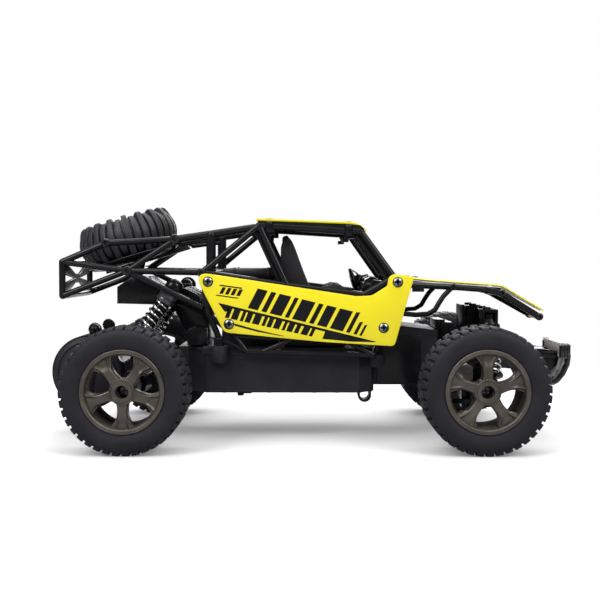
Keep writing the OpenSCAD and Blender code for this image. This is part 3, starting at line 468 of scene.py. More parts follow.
def wheel(name, at, side, body, nodes, first):
    """Five-spoke wheel: barrel with a flat lip, forked spokes and a ringed hub. at is on the axle."""
    lip = HALF_W - 0.55
    deep = 22.5

    def across(depth):
        return side * (lip - depth)

    s = Shape()
    here = (at[0], 0, at[2])
    barrel = [(18.3, deep), (18.3, 0.9), (19.1, 0.5), (19.1, 0.05), (18.8, -0.2), (17.35, -0.2), (16.95, 0.15),
              (16.6, 0.9), (16.35, 2.4), (15.9, 7), (16.3, deep)]
    s.lathe([(r, across(depth)) for r, depth in barrel], here, steps=112)
    for i in range(5):
        spoke(s, at, first + 72 * i, across)
    hub = [(2.9, 12.2), (2.9, 0.55), (3.1, 0.3), (4.8, 0.3), (4.9, 0.66), (5.2, 0.66), (5.3, 0.3), (5.65, 0.3),
           (5.9, 0.6), (5.95, 7.5), (4.4, 17.5), (2.02, 17.5), (2.02, 12.2)]
    s.lathe([(r, across(depth)) for r, depth in hub], here, steps=56)
    for i in range(10):
        a = radians(first + 36 * i + 18)
        s.disc(0.2, *sorted((across(0.42), across(0.16))), at=(at[0] + 3.9 * sin(a), 0, at[2] + 3.9 * cos(a)),
               steps=8, soft=0.05)
    return s.make(name, body, BRONZE, bevel=0.14, steps=2, smooth=42, stands_for=nodes)


def cross_screw(s, at, r, side=1, axis=1, height=1.0):
    """Pan head with a cross recess, standing on at and facing side along axis."""
    steps = 48
    u, v = [(1, 2), (2, 0), (0, 1)][axis]
    reach = 0.64 * r
    slot = 0.2 * r

    def depth_at(x, y):
        d = (x * x + y * y) ** 0.5 / r
        dome = height * (1 - 0.55 * d ** 3)
        inside = (abs(x) < slot and abs(y) < reach) or (abs(y) < slot and abs(x) < reach)
        return dome - (0.72 * height if inside else 0)

    rings = []
    radii = [r * k for k in (1, 0.97, 0.88, 0.78, 0.7, 0.66, 0.62, 0.54, 0.46, 0.38, 0.3, 0.26, 0.2, 0.12)]
    for n, radius in enumerate([r] + radii):
        ring = []
        for i in range(steps):
            a = 2 * pi * (i + 0.5) / steps
            x, y = radius * cos(a), radius * sin(a)
            p = list(at)
            p[axis] += side * (0 if n == 0 else depth_at(x, y))
            p[u] += x
            p[v] += y
            ring.append(s.vert(p))
        rings.append(ring)
    s.skin(rings)


def recess_shade_cross(s, at, r, side=1, axis=1, height=1.0):
    """Dark cross at the bottom of a screw's recess: painted shade in the recess."""
    u, v = [(1, 2), (2, 0), (0, 1)][axis]
    for long, short in ((u, v), (v, u)):
        low, high = list(at), list(at)
        low[axis], high[axis] = sorted((at[axis] + side * height * 0.1, at[axis] + side * height * 0.5))
        for way, half in ((long, 0.62 * r), (short, 0.185 * r)):
            low[way] -= half
            high[way] += half
        s.box(low, high)


WHEEL_SCREW_Y = HALF_W - 9.4      # seat of the screw head, down the wheel's bore


def wheel_screw(s, marks, x, side, shank):
    at = (x, side * WHEEL_SCREW_Y, AXLE_Z)
    s.disc(shank, *outward(side, WHEEL_SCREW_Y - 3.4, WHEEL_SCREW_Y), at=(x, 0, AXLE_Z))
    cross_screw(s, at, 2.45, side, height=1.4)
    # dark cross painted as the shade in the screw's recess
    recess_shade_cross(marks, at, 2.45, side, height=1.4)


def build_wheels():
    for label, side in SIDES:
        for end, x, body in (("front", FRONT_X, f"front_wheel_{label}"), ("rear", REAR_X, "rear_axle")):
            road_tyre(f"{end}_tyre_tread_{label}", (x, side * (HALF_W - TYRE_W / 2), AXLE_Z), body,
                      f"{end}_tyre_{label}")
            wheel(f"{end}_wheel_{label}", (x, 0, AXLE_Z), side, body, [f"{end}_rim_{label}"],
                  0 if end == "front" else 180)
    s, marks = Shape(), Shape()
    for label, side in SIDES:
        wheel_screw(s, marks, REAR_X, side, 1.5)
    s.make("rear_wheel_screw_heads", "rear_axle", CHROME, smooth=30, stands_for=["rear_wheel_screws"])
    marks.make("rear_wheel_screw_recess_shade", "rear_axle", DEEP)
    for label, side in SIDES:
        s, marks = Shape(), Shape()
        wheel_screw(s, marks, FRONT_X, side, 1.4)
        s.make(f"front_wheel_screw_{label}", f"knuckle_{label}", CHROME, smooth=30)
        marks.make(f"front_wheel_screw_recess_{label}", f"knuckle_{label}", DEEP)


SPARE_SECTION = ((16.3, 9.1), (17.4, 9.5), (18.8, 9.5), (20.4, 9.1), (21.9, 8.2), (23.2, 6.9), (24.3, 5.1),
                 (25.1, 2.9), (25.45, 0.8))
SPARE_R = 25.4
SPARE_TILT = 16.5
SPARE_RIBS = 36          # every other one stands proud
RIB_WIDE = 3.1


def spare_place():
    """Matrix for pieces built about the spare wheel's own upright axis."""
    centre = middle("spare_tyre")
    return (Matrix.Translation(((centre.x - MID_X) / MM, 0, centre.z / MM))
            @ Matrix.Rotation(-radians(SPARE_TILT), 4, "Y"))


def build_spare():
    """Ribbed balloon tyre lying on the rack, tilted nose up."""
    place = spare_place()
    s = Shape()
    s.turn = place
    core = [(r - 1.6, y - 0.5) for r, y in SPARE_SECTION]
    core[0] = (16.15, 8.4)
    s.lathe(core + [(r, -y) for r, y in reversed(core)], axis=2, steps=128)
    reach = degrees(RIB_WIDE / 2 / SPARE_R)
    inner = [(r - 2.2, y - 1.2) for r, y in (SPARE_SECTION[-2], SPARE_SECTION[4], SPARE_SECTION[2])]
    low = [(r, -y) for r, y in reversed(inner)] + inner
    for i in range(SPARE_RIBS):
        proud = (2.4, 0.0)[i % 2]
        turn = 360 * i / SPARE_RIBS
        outer = []
        for r, y in SPARE_SECTION[1:]:
            bulge = proud * max(0, 1 - abs(r - 21.2) / 2.6) ** 0.6
            outer.append((r + bulge * 0.25, y + bulge * 0.8))
        high = outer + [(r, -y) for r, y in reversed(outer)]
        s.lathe(high + low, axis=2, steps=2, arc=(turn - reach, turn + reach))
    s.make("spare_tyre_ribs", "chassis", SPARE_RUBBER, bevel=0.32, steps=3, smooth=50,
           stands_for=["spare_tyre"])
    s = Shape()
    s.turn = place
    top = 8.3
    s.lathe([(16.1, -top), (16.1, top), (16.6, top + 0.3), (15.2, top + 0.3), (14.6, top - 0.2),
             (14.5, -top)], axis=2, steps=80)
    for i in range(5):
        a = radians(72 * i)
        for (w0, w1, w2), low, high in (((2.6, 2.4, 5.0), 2.5, 5.6), ((1.9, 1.8, 3.4), 2.8, 6.4)):
            outline = [(-w0, 3.5), (-w1, 9.5), (-w2, 14.7), (w2, 14.7), (w1, 9.5), (w0, 3.5)]
            points = [(x * cos(a) - q * sin(a), x * sin(a) + q * cos(a)) for x, q in outline]
            s.prism(points, low, high, axis=2)
    s.lathe([(3.1, -top), (3.1, -1), (0.01, -1), (0.01, 5.4), (2.2, 5.4), (2.4, 6.4), (4.8, 6.4), (5.4, 5.9),
             (5.4, -top)], axis=2, steps=40)
    s.make("spare_wheel", "chassis", BRONZE, bevel=0.2, stands_for=["spare_rim"])


# ---- cage and panels ----

CAGE_HALF = 38.0
TAIL_HALF = 33.0
TAIL_LOW = (-118, TAIL_HALF, 70.5)
TAIL_TOP = (-118, TAIL_HALF, 87)
TAIL_BEND = (-96.5, TAIL_HALF, 96.2)
RACK_TOP = (-63, TAIL_HALF, 98)
RACK_MID = (-86, TAIL_HALF + 1.5, 82.7)
ROOF_REAR = (-22, CAGE_HALF - 2, 104.6)
ROOF_FRONT = (27, CAGE_HALF - 2, 101.6)
SHOULDER = (-49.7, CAGE_HALF, 81.8)
SILL_MID = (-8.5, CAGE_HALF, 75.5)
DOOR_DIP = (28, CAGE_HALF, 71)
COWL = (43, CAGE_HALF, 79.4)
COWL_FOOT = (44.5, CAGE_HALF - 1, 70)
SILL_REAR = (-46, CAGE_HALF, 61.5)
RAIL_REAR = (-28, CAGE_HALF, 43.9)
REAR_FOOT = (-41.5, CAGE_HALF - 2, 50)
FRONT_FOOT = (34.5, CAGE_HALF - 8, 45)
HOOD_REAR = (47, 36.4, 76.2)
HOOD_MID = (72, 30.6, 74.9)
HOOD_TURN = (88, 25.0, 73.6)
HOOD_BEND = (97.6, 20.6, 71.5)
HOOD_TIP = (118.3, 11.9, 59.4)
HOOP_REAR = (46, 31, 62)
HOOP_LOW = (60, 31, 61.6)
MAIN_R = 1.6
THIN_R = 1.3
PANEL_SCREWS = ((-46.4, 77.6), (-36.4, 57.2), (44.4, 77.3), (37.7, 55.5))


def along(marks, x):
    """Value at x on a line through (x, value) marks."""
    for (x0, a), (x1, b) in zip(marks, marks[1:]):
        if x <= x1:
            return a + (b - a) * (x - x0) / (x1 - x0)
    return marks[-1][1]


def hood_top(x):
    return along([(47, 79.9), (62, 78.35), (94.5, 75.9), (98.5, 75.4), (102, 73.8), (122.6, 62.15)], x)


def hood_half(x):
    return along([(47, 33), (72, 27), (98, 17), (109, 9.5), (123, 6)], x)


def both(path, side):
    return [(x, y * side, z) for x, y, z in path]


def cross_bar(s, p, r=MAIN_R):
    s.sweep([p, (p[0], -p[1], p[2])], r, 14)


def build_cage():
    """Tubes of the cab and the hood, with hubs at the joints and bosses for the panel screws."""
    s, hubs = Shape(), Shape()
    for side in (-1, 1):
        s.tube(both([SHOULDER, ROOF_REAR], side), MAIN_R)
        s.tube(both([ROOF_REAR, ROOF_FRONT], side), 1.8)
        s.tube(both([ROOF_FRONT, COWL], side), MAIN_R)
        s.tube(both([(24.6, CAGE_HALF - 4.2, 100.6), (40.2, CAGE_HALF - 2.6, 78.6)], side), 1.5)
        s.tube(both([ROOF_REAR, SILL_MID], side), 1.65)
        s.tube(both([(-24.4, CAGE_HALF - 4, 104), (-11.5, CAGE_HALF - 2.2, 76)], side), 1.2)
        s.tube(both([SHOULDER, SILL_MID, DOOR_DIP, COWL], side), 1.75)
        s.tube(both([COWL, HOOD_REAR, HOOD_MID, HOOD_TURN, HOOD_BEND, HOOD_TIP], side), 1.6)
        curve = [HOOP_REAR, (54, 31, 61.2), HOOP_LOW, (63.4, 31, 63.6), (65.6, 31, 67.4), (67.6, 30.9, 70.4),
                 HOOD_MID]
        s.tube(both(curve, side), 1.25)
        s.tube(both([COWL, COWL_FOOT, HOOP_REAR], side), MAIN_R)
        s.side_box(side, (52, 57.5), (33, 36.6), (72.6, 75.6))
        s.tube(both([SHOULDER, SILL_REAR, REAR_FOOT], side), 1.5)
        s.tube(both([REAR_FOOT, RAIL_REAR, (33, CAGE_HALF, 42.1), FRONT_FOOT], side), THIN_R)
        s.tube(both([(-34, CAGE_HALF, 51.5), RAIL_REAR], side), THIN_R)
        s.tube(both([(-6, CAGE_HALF, 50), (-20.5, CAGE_HALF, 43.6)], side), THIN_R)
        s.tube(both([(21, CAGE_HALF, 48.5), (33, CAGE_HALF, 42.3)], side), THIN_R)
        s.tube(both([SILL_REAR, (-34, CAGE_HALF, 51.5), (-6, CAGE_HALF, 50), (21, CAGE_HALF, 48.5),
                     (40, CAGE_HALF - 1, 50), COWL_FOOT], side), THIN_R)
        s.disc(2.6, 41, 50.5, at=(REAR_FOOT[0], side * REAR_FOOT[1], 0), axis=2, soft=0.5)
        s.disc(2.5, 38.5, 45, at=(FRONT_FOOT[0], side * FRONT_FOOT[1], 0), axis=2, soft=0.5)
        for x, z in PANEL_SCREWS:
            s.disc(3.3, *outward(side, 35.6, 40.25), at=(x, 0, z))
        s.side_box(side, (35.9, 39.5), (36, 39.4), (50, 57))
        # web between the roof rail and the sheet, and the bosses that hang from it
        s.prism([(-22, 104), (27, 101), (28.6, 103.0), (26.5, 104.7), (22, 105.15), (-22.6, 106.8)],
                *outward(side, 33.6, 37.4))
        for x, low, high in ((-16.6, 100.0, 106.5), (21.5, 98.2, 104.9)):
            s.side_box(side, (x - 2.1, x + 2.1), (29.5, 36.6), (low, high))
            s.side_box(side, (x - 3.6, x - 0.4), (28, 34), (low - 1.6, low + 0.2))
            s.disc(2.15, low + 1.0, high - 0.1, at=(x - 0.5, side * 36.6, 0), axis=2, steps=28, soft=0.4)
        # web between each hood rail and the sheet
        rows = []
        for x, y, z in (HOOD_REAR, (54, 35, 75.9), (62, 32.9, 75.4), HOOD_MID, (80, 28, 74.3), HOOD_TURN,
                        HOOD_BEND):
            top, inner = hood_top(x) - 1.1, hood_half(x) - 1.5
            rows.append([(x, side * (y - 0.3), z), (x, side * (y - 0.3), top - 0.3), (x, side * (y - 1), top),
                         (x, side * inner, top), (x, side * inner, z)])
        s.grid(rows)
        for (x, y, z), r in ((SHOULDER, 2.2), (COWL, 2.1), (HOOD_MID, 1.8), (HOOD_BEND, 1.9), (HOOD_TIP, 1.9)):
            hubs.hub((x, side * y, z), r, 2.05, side)
    for p in (ROOF_REAR, ROOF_FRONT, SHOULDER, COWL, HOOD_MID, HOOD_BEND, HOOD_TIP, COWL_FOOT):
        cross_bar(s, p, 1.5 if p[0] > 40 else MAIN_R)
    s.make("tube_cage", "chassis", BLACK, smooth=45, stands_for=["roll_cage"])
    hubs.make("cage_hubs", "chassis", DEEP, smooth=45)


def build_rack():
    """Tube frame of the tail, the dish under the spare wheel and the flared cross brace."""
    s, hubs = Shape(), Shape()
    post = (-45.5, CAGE_HALF - 4.1)
    for side in (-1, 1):
        s.tube(both([TAIL_LOW, TAIL_TOP, TAIL_BEND, RACK_TOP], side), 1.6)
        s.tube(both([TAIL_TOP, RACK_MID, TAIL_LOW], side), 1.5)
        s.tube(both([RACK_MID, RACK_TOP], side), 1.5)
        s.tube(both([RACK_MID, (-51.6, CAGE_HALF - 1, 82)], side), 1.55)
        s.tube(both([RACK_MID, (-50.2, CAGE_HALF - 0.6, 65)], side), 1.5)
        s.tube(both([RACK_TOP, (-24.6, CAGE_HALF - 3.6, 103.6)], side), 1.9)
        s.tube(both([(-61, TAIL_HALF - 2.5, 95.5), (-45.5, CAGE_HALF - 5.2, 97.6)], side), 1.1)
        s.tube(both([(*post, 99.8), (*post, 72)], side), 2.4)
        s.tube(both([(-84, TAIL_HALF - 3, 84.6), (-66, TAIL_HALF - 3.4, 96.4)], side), 1.2)
        for p, r in ((TAIL_BEND, 2.2), (RACK_TOP, 2.6), (RACK_MID, 2.5)):
            hubs.hub((p[0], side * p[1], p[2]), r, 2.15, side)
    for p in (TAIL_LOW, TAIL_TOP, RACK_MID, RACK_TOP):
        cross_bar(s, p, 1.6)
    cross_bar(s, (*post, 82), 1.4)
    for y in (-8, 8):
        s.tube([(RACK_MID[0], y, RACK_MID[2]), (-85, y, 87.8)], 1.6)
    s.tube([(RACK_TOP[0], 0, RACK_TOP[2]), (-64, 0, 94.2)], 1.6)
    s.make("spare_rack", "chassis", BLACK, smooth=45, stands_for=["rear_rack"])
    hubs.make("rack_hubs", "chassis", DEEP, smooth=45)
    s = Shape()
    reach, low, high = TAIL_HALF - 1.2, TAIL_LOW[2] + 0.8, TAIL_TOP[2] - 0.8
    centre = (low + high) / 2
    waist, flare = 2.4, 5.2
    right = [(-reach, low), (-reach + flare * 1.6, low), (-flare, centre - waist), (flare, centre - waist),
             (reach - flare * 1.6, low), (reach, low), (reach, low + flare), (flare + 2.4, centre),
             (reach, high - flare), (reach, high), (reach - flare * 1.6, high), (flare, centre + waist),
             (-flare, centre + waist), (-reach + flare * 1.6, high), (-reach, high), (-reach, high - flare),
             (-flare - 2.4, centre), (-reach, low + flare)]
    s.prism(right, TAIL_LOW[0] - 0.7, TAIL_LOW[0] + 0.7, axis=0)
    s.make("tail_brace", "chassis", GLOSS, bevel=0.45, steps=3)
    s = Shape()
    s.turn = spare_place()
    s.lathe([(0.01, -12.9), (16, -12.9), (21.6, -11.7), (24.0, -9.9), (23.5, -9.4), (20.8, -10.6),
             (15, -11.1), (0.01, -11.1)], axis=2, steps=72)
    s.disc(3.0, -12.5, -3.5, axis=2)
    s.box((-16, -2.5, -14.2), (29, 2.5, -11.6), taper=0.4)
    s.make("spare_dish", "chassis", DEEP, bevel=0.3)


PANEL_OUTLINE = [(-53.6, 82.5, 4.4), (24.6, 70.6, 7), (32, 70.9, 6), (39.4, 75.6, 1.6), (40.0, 81.6, 4.2),
                 (52.3, 79.9, 1.5), (42.9, 46.6, 2.6), (9.5, 48.6, 0), (-38.6, 53.2, 4.5)]

PRINT_EDGE = ((-41.5, 67.5), (33.9, 48.9))    # upper edge of the long wedge, from its tail to its tip
PRINT_LOW = ((-38.9, 60.9), (9, 50.4), (33.9, 48.7))
PRINT_HIGH = ((-30, 76.0), (24, 62.9))        # tops of the big slashes
LEAN = 0.52                                   # forward lean of the slashes, per millimetre of height


def slash(x, wide, low, high, gap=0.0):
    """Leaning bar between two sloping lines, each given as (x, z) marks."""
    sides = []
    for start in (x, x + wide):
        z0 = along(low, start) + gap
        z1 = along(high, start + LEAN * 8)
        sides.append(((start, z0), (start + LEAN * (z1 - z0), z1)))
    (a, b), (c, d) = sides
    return [a, c, d, b]


def side_prints():
    """Plain black shapes: a row of leaning bars, a wedge cut by thin ones, two stripes and a row of ticks."""
    shapes = []
    for x, wide in ((-27.4, 4.8), (-20.9, 2.4), (-16.9, 5.6), (-9.7, 1.9), (-6.2, 6.4), (1.9, 2.2),
                    (5.7, 4.6), (11.9, 6.2), (19.6, 1.8)):
        shapes.append(slash(x, wide, PRINT_EDGE, PRINT_HIGH, 1.0))
    for x, wide, drop in ((23.2, 1.5, 4.6), (26.0, 1.1, 6.0)):
        shapes.append(slash(x, wide, PRINT_EDGE, [(a, z - drop) for a, z in PRINT_HIGH], 1.0))
    strip = [(x, z - 1.2) for x, z in PRINT_EDGE]
    shapes.append([(-41.5, 67.5), (-36.2, 66.2), (-36.2, 63.4), (-38.4, 63.2)])
    shapes.append([(-36.2, along(PRINT_EDGE, -36.2)), (10, along(PRINT_EDGE, 10)), (10, along(strip, 10)),
                   (-36.2, along(strip, -36.2))][::-1])
    x = -36.6
    for n, wide in enumerate((1.9, 3.1, 1.5, 2.6, 3.4, 1.6, 2.2, 3.0, 1.4, 2.8, 2.0, 3.2, 1.6)):
        if x + wide > 9.8:
            break
        lean = LEAN * 3.4
        shapes.append([(x - lean, along(PRINT_LOW, x)), (x + wide - lean, along(PRINT_LOW, x + wide)),
                       (x + wide, along(strip, x + wide)), (x, along(strip, x))])
        x += wide + (0.9, 1.2, 0.75)[n % 3]
    shapes.append([(10, along(PRINT_EDGE, 10)), (33.9, 48.9), (33.6, 48.6), (22, 48.9), (8.4, 50.2)])
    shapes.append([(-34.2, 57.7), (-22, 54.3), (-9.6, 51.5), (-11, 51.5), (-22.4, 53.5), (-33.4, 56.4)])
    for n in range(4):
        x = -41.0 + 2.7 * n
        z = 71.9 - 0.35 * n
        shapes.append([(x, z), (x + 1.7, z - 0.2), (x + 3.3, z + 2.9), (x + 1.6, z + 3.1)])
    shapes.append([(-40.6, 76.2), (-30.0, 74.7), (-30.3, 74.1), (-40.9, 75.6)])
    shapes.append([(-42.4, 71.4), (-31.8, 69.9), (-32.1, 69.4), (-42.7, 70.9)])
    return shapes


def build_panels():
    """Yellow side and roof sheets, with plain black slashes as their only print."""
    low, high = span("side_panel_left")
    for label, side in SIDES:
        s = Shape()
        ends = outward(side, low.y, high.y)
        s.prism(round_corners(PANEL_OUTLINE, 6), ends[0], ends[1])
        s.make(f"side_panel_sheet_{label}", "chassis", YELLOW, bevel=0.3, steps=3,
               stands_for=[f"side_panel_{label}"])
        s = Shape()
        ends = outward(side, high.y - 0.02, high.y + 0.04)
        for outline in side_prints():
            s.prism(outline, ends[0], ends[1])
        s.make(f"side_print_{label}", "chassis", PRINT_AND_SHADE)

    s = Shape()
    low, high = span("roof_panel")
    sheet = [(-23.5, 106.9), (22, 105.2), (24.8, 104.7), (26.8, 103.7), (28.2, 102.3), (29.0, 101.3),
             (29.8, 102.0), (29.0, 103.1), (27.4, 104.7), (25.3, 105.8), (22.3, 106.4), (-23.5, 108.1)]
    s.prism(sheet, low.y, high.y)
    s.make("roof_sheet", "chassis", YELLOW, bevel=0.28, steps=3, stands_for=["roof_panel"])
    s = Shape()
    for side in (-1, 1):
        for n, (inner, outer) in enumerate(((10, 15), (17.5, 20), (22, 23.2))):
            ends = outward(side, inner, outer)
            s.prism([(-20 + 4 * n, 107.95 - 0.15 * n), (19 - 3 * n, 106.52 + 0.11 * n),
                     (19 - 3 * n, 106.57 + 0.11 * n), (-20 + 4 * n, 108.02 - 0.15 * n)], ends[0], ends[1])
    s.make("roof_print", "chassis", PRINT_AND_SHADE)


def build_hood():
    """Folded, slightly crowned hood sheet that narrows towards the nose, with two long wedges on it."""
    stations = [47, 55, 63, 72, 80, 88, 94.5, 96.5, 98.5, 100.4, 102.5, 110, 116, 120, 122.3]
    lanes = (-1, -0.86, -0.6, -0.3, 0, 0.3, 0.6, 0.86, 1)

    def crown(x, t):
        return hood_top(x) + 0.55 * (1 - t * t)

    rows = []
    for x in stations:
        w = hood_half(x) if x < 120 else hood_half(x) - (x - 120) * 0.9
        rows.append([(x, w * t, crown(x, t)) for t in lanes]
                    + [(x, w * t, crown(x, t) - 0.8) for t in lanes[::-1]])
    s = Shape()
    s.grid(rows)
    s.make("hood_sheet", "chassis", YELLOW, bevel=0.22, steps=2, smooth=30, stands_for=["hood_panel"])
    s = Shape()
    for side in (-1, 1):
        for inner, outer, x0, x1 in ((0.40, 0.66, 50, 119), (0.73, 0.79, 50, 112)):
            rows = []
            for x in [x0] + [q for q in stations if x0 < q < x1] + [x1]:
                a, b = (side * inner, side * (inner + (outer - inner) * (1 - 0.7 * (x - x0) / (x1 - x0))))
                w = hood_half(x)
                rows.append([(x, w * a, crown(x, a) - 0.02), (x, w * b, crown(x, b) - 0.02),
                             (x, w * b, crown(x, b) + 0.06), (x, w * a, crown(x, a) + 0.06)])
            s.grid(rows)
    s.make("hood_print", "chassis", PRINT_AND_SHADE)


def build_screws():
    """Pan heads on the yellow sheets, with a dark ring round those on the sides as painted contact shade."""
    s, rings, marks = Shape(), Shape(), Shape()
    side_y = span("side_panel_left")[1].y
    for side in (-1, 1):
        for x, z in PANEL_SCREWS:
            low, high = side * (side_y - 0.05), side * (side_y + 0.12)
            # thin dark ring round each side head paints the contact shade where the head meets the sheet; the
            # dark crosses paint the shade in the recesses
            rings.lathe([(1.5, low), (2.5, low), (2.5, high), (1.5, high)], (x, 0, z), steps=40)
            at = (x, side * side_y, z)
            cross_screw(s, at, 2.1, side, height=0.95)
            recess_shade_cross(marks, at, 2.1, side, height=0.95)
        for x, y, z in ((-17.5, 30, 107.85), (21, 30, 106.4), (54, 24, 79.5)):
            cross_screw(s, (x, side * y, z), 2.0, 1, axis=2, height=0.85)
            recess_shade_cross(marks, (x, side * y, z), 2.0, 1, axis=2, height=0.85)
    s.make("panel_screw_heads", "chassis", SCREW, smooth=30, stands_for=["panel_screws"])
    rings.make("panel_screw_contact_shade", "chassis", PRINT_AND_SHADE, smooth=30)
    marks.make("panel_screw_recess_shade", "chassis", PRINT_AND_SHADE)


# ---- cab ----

def build_seats():
    """Moulded bucket seats: a cushion with a knee roll, and a tall back between curved side wings."""
    s = Shape()
    back = [(-10.4, 45.5), (-11.5, 70), (-11.2, 93), (-6.6, 93), (-4.6, 84), (-2, 75), (1.5, 67.5), (8, 67.5),
            (12, 70.6), (16.5, 71.2), (20, 69.2), (20.8, 64), (20, 45.5)]
    wing = [(-11, 46), (-12.2, 70), (-11.8, 94), (-10.6, 98.6), (-7.2, 98.6), (-5.6, 95), (-3.4, 89),
            (-0.6, 81.5), (1.6, 76), (4.4, 71.4), (8, 72.6), (10.2, 75), (13.6, 76.2), (17.4, 75.8),
            (20.8, 73.6), (22.3, 68.4), (21.6, 58), (20.6, 46)]
    headrest = [(-11.4, 88, 0), (-11.2, 99.4, 1.6), (-8.4, 100.4, 1.2), (-5.4, 88, 0)]
    for side in (-1, 1):
        for near, far, outline in ((7.5, 26.5, back), (5, 9, wing), (25, 29, wing)):
            s.prism(round_corners([(x, z, 1.1) for x, z in outline], 2), *outward(side, near, far))
        s.prism(round_corners(headrest, 4), *outward(side, 10, 24))
        for z in (75, 80, 85):
            x = -3.6 - (z - 75) * 0.34
            s.sweep([(x, side * 10.5, z), (x, side * 23.5, z)], 0.75, 10)
    s.make("bucket_seats", "chassis", SEAT, bevel=0.7, steps=3, smooth=45, stands_for=["seats"])


def build_cab():
    """Dashboard with its pods and knobs, the moulded steering wheel and the dummy engine."""
    s = Shape()
    s.prism(round_corners([(46, 56.5, 0), (46, 66, 1), (42, 74.2, 1.5), (38.4, 77.6, 1), (33.4, 78.4, 1.2),
                           (29.6, 71.4, 1.2), (31, 66, 1), (34, 56.5, 0)], 3), -29, 29)
    for y in (-17, 17):
        s.prism(round_corners([(28.4, 73.4, 1), (29.8, 78.4, 1.5), (33.6, 80.0, 1.2), (36.4, 78.6, 0.8),
                               (37.6, 76, 0), (32, 71, 0)], 3), y - 7.5, y + 7.5)
    for y in (-24, -10, 10, 24):
        s.disc(2.4, 28.6, 33, at=(0, y, 74.6), axis=0, steps=28, soft=0.5)
    s.make("dash_top", "chassis", BLACK, bevel=0.4, stands_for=["dashboard"])
    s = Shape()
    low, high = span("cab_steering_wheel")
    s.turn = Matrix.Translation((25.6, (low.y + high.y) / 2, 77.2)) @ Matrix.Rotation(radians(74), 4, "Y")
    ring = [(6.0 + 0.95 * cos(2 * pi * i / 12), 0.95 * sin(2 * pi * i / 12)) for i in range(12)]
    s.lathe(ring, axis=2, steps=48)
    s.lathe([(0.01, -1.5), (3, -1.3), (5.8, -0.5), (5.8, 0.5), (3, 1.5), (0.01, 2.2)], axis=2, steps=48)
    s.lathe([(0.01, 0.2), (1.9, 0.2), (2.4, 2.7), (2.4, 4.2), (1.5, 5.2), (1.3, 8.4), (0.01, 8.4)],
            axis=2, steps=28)
    for i in range(3):
        a = 2 * pi * i / 3 + pi
        rows = []
        for r, z, w, t in ((1.2, 3.4, 1.9, 1.3), (3.2, 2.9, 1.5, 0.9), (4.8, 1.5, 1.5, 0.8),
                           (6.1, 0.1, 2.4, 0.8)):
            rows.append([(r * cos(a) - q * w * sin(a), r * sin(a) + q * w * cos(a), z + h * t)
                         for q, h in ((-1, -0.5), (1, -0.5), (1, 0.5), (-1, 0.5))])
        s.grid(rows)
    s.make("moulded_steering_wheel", "chassis", BLACK, bevel=0.2, stands_for=["cab_steering_wheel"])
    s = Shape()
    s.box((-42, -18, 45.1), (-14, 18, 62), taper=1.0)
    for side in (-1, 1):
        s.side_box(side, (-40, -16), (6, 22), (60, 77), taper=1.5)
        s.disc(2.9, -41, -14.5, at=(0, side * 16, 81), axis=0, steps=32, soft=1.2)
        s.disc(3.3, -36, -34.5, at=(0, side * 16, 81), axis=0, steps=32, soft=0.3)
        s.disc(3.3, -19, -17.5, at=(0, side * 16, 81), axis=0, steps=32, soft=0.3)
        for i in range(8):
            s.side_box(side, (-39 + i * 3, -37.4 + i * 3), (20, 24.5), (61, 75), taper=0.3)
    s.disc(5, 60, 79, at=(-28, 0, 0), axis=2, soft=1)
    s.disc(6.2, 75.5, 77.5, at=(-28, 0, 0), axis=2, soft=0.4)
    s.make("dummy_engine", "chassis", DARK, bevel=0.35, stands_for=["engine_block"])


def build_chassis():
    """Details that the moulded battery box carries, around the plain CAD tub."""
    dress("chassis_tub", DARK, 0.45)
    dress("chassis_cover", DARK, 0.35)
    dress("battery_door", DARK, 0.2)
    dress("power_switch", NYLON, 0.15)
    s, dark = Shape(), Shape()
    for side in (-1, 1):
        s.side_box(side, (-46.5, 26), (32.6, 33.35), (41.6, 43))
        s.side_box(side, (-46.5, 26), (32.6, 33.35), (23.6, 24.4))
        # raised step at the rear of the wall, and the box behind it
        ends = outward(side, 27, 33.2)
        s.prism(round_corners([(-50, 42, 0), (-50, 45.8, 0.8), (-37, 45.6, 0.8), (-31, 43.2, 0),
                               (-31, 42, 0)], 3), *ends)
        ends = outward(side, 21, 26.5)
        dark.prism(round_corners([(-58, 46, 0), (-58, 53.6, 0.8), (-54, 55.2, 0.8), (-48.5, 54.4, 0.8),
                                  (-48.5, 46, 0)], 3), *ends)
        s.disc(4.2, 37.6, 45.6, at=(-41.5, side * 34.4, 0), axis=2, soft=0.5)
        s.disc(4.0, 35.8, 41.6, at=(34.5, side * 30, 0), axis=2, soft=0.5)
        # thin dark plates over the rear end of the wall and the side of the front box: painted shade where
        # these faces sit back in shadow
        dark.side_box(side, (26.4, 32.6), (32.4, 33.15), (23.8, 43.6))
        dark.side_box(side, (35.5, 57.4), (23.6, 24.4), (26.8, 50.9))
    for x in range(-40, 26, 11):
        s.box((x, -31, 22.9), (x + 1.2, -19.5, 23.4))
        s.box((x, 19.5, 22.9), (x + 1.2, 31, 23.4))
    s.make("tub_ribs", "chassis", DARK, bevel=0.2)
    dark.make("tub_rear_box_and_shade_plates", "chassis", BLACK, bevel=0.2)
    s = Shape()
    for side in (-1, 1):
        for x in (-44, -20, 6, 24):
            cross_screw(s, (x, side * 25, 23.3), 1.9, -1, axis=2, height=0.7)
        cross_screw(s, (48, side * 16, 26.3), 1.9, -1, axis=2, height=0.7)
        cross_screw(s, (70.5, side * 6, 23.5), 1.9, -1, axis=2, height=0.7)
    s.make("underside_screws", "chassis", CHROME, smooth=30)


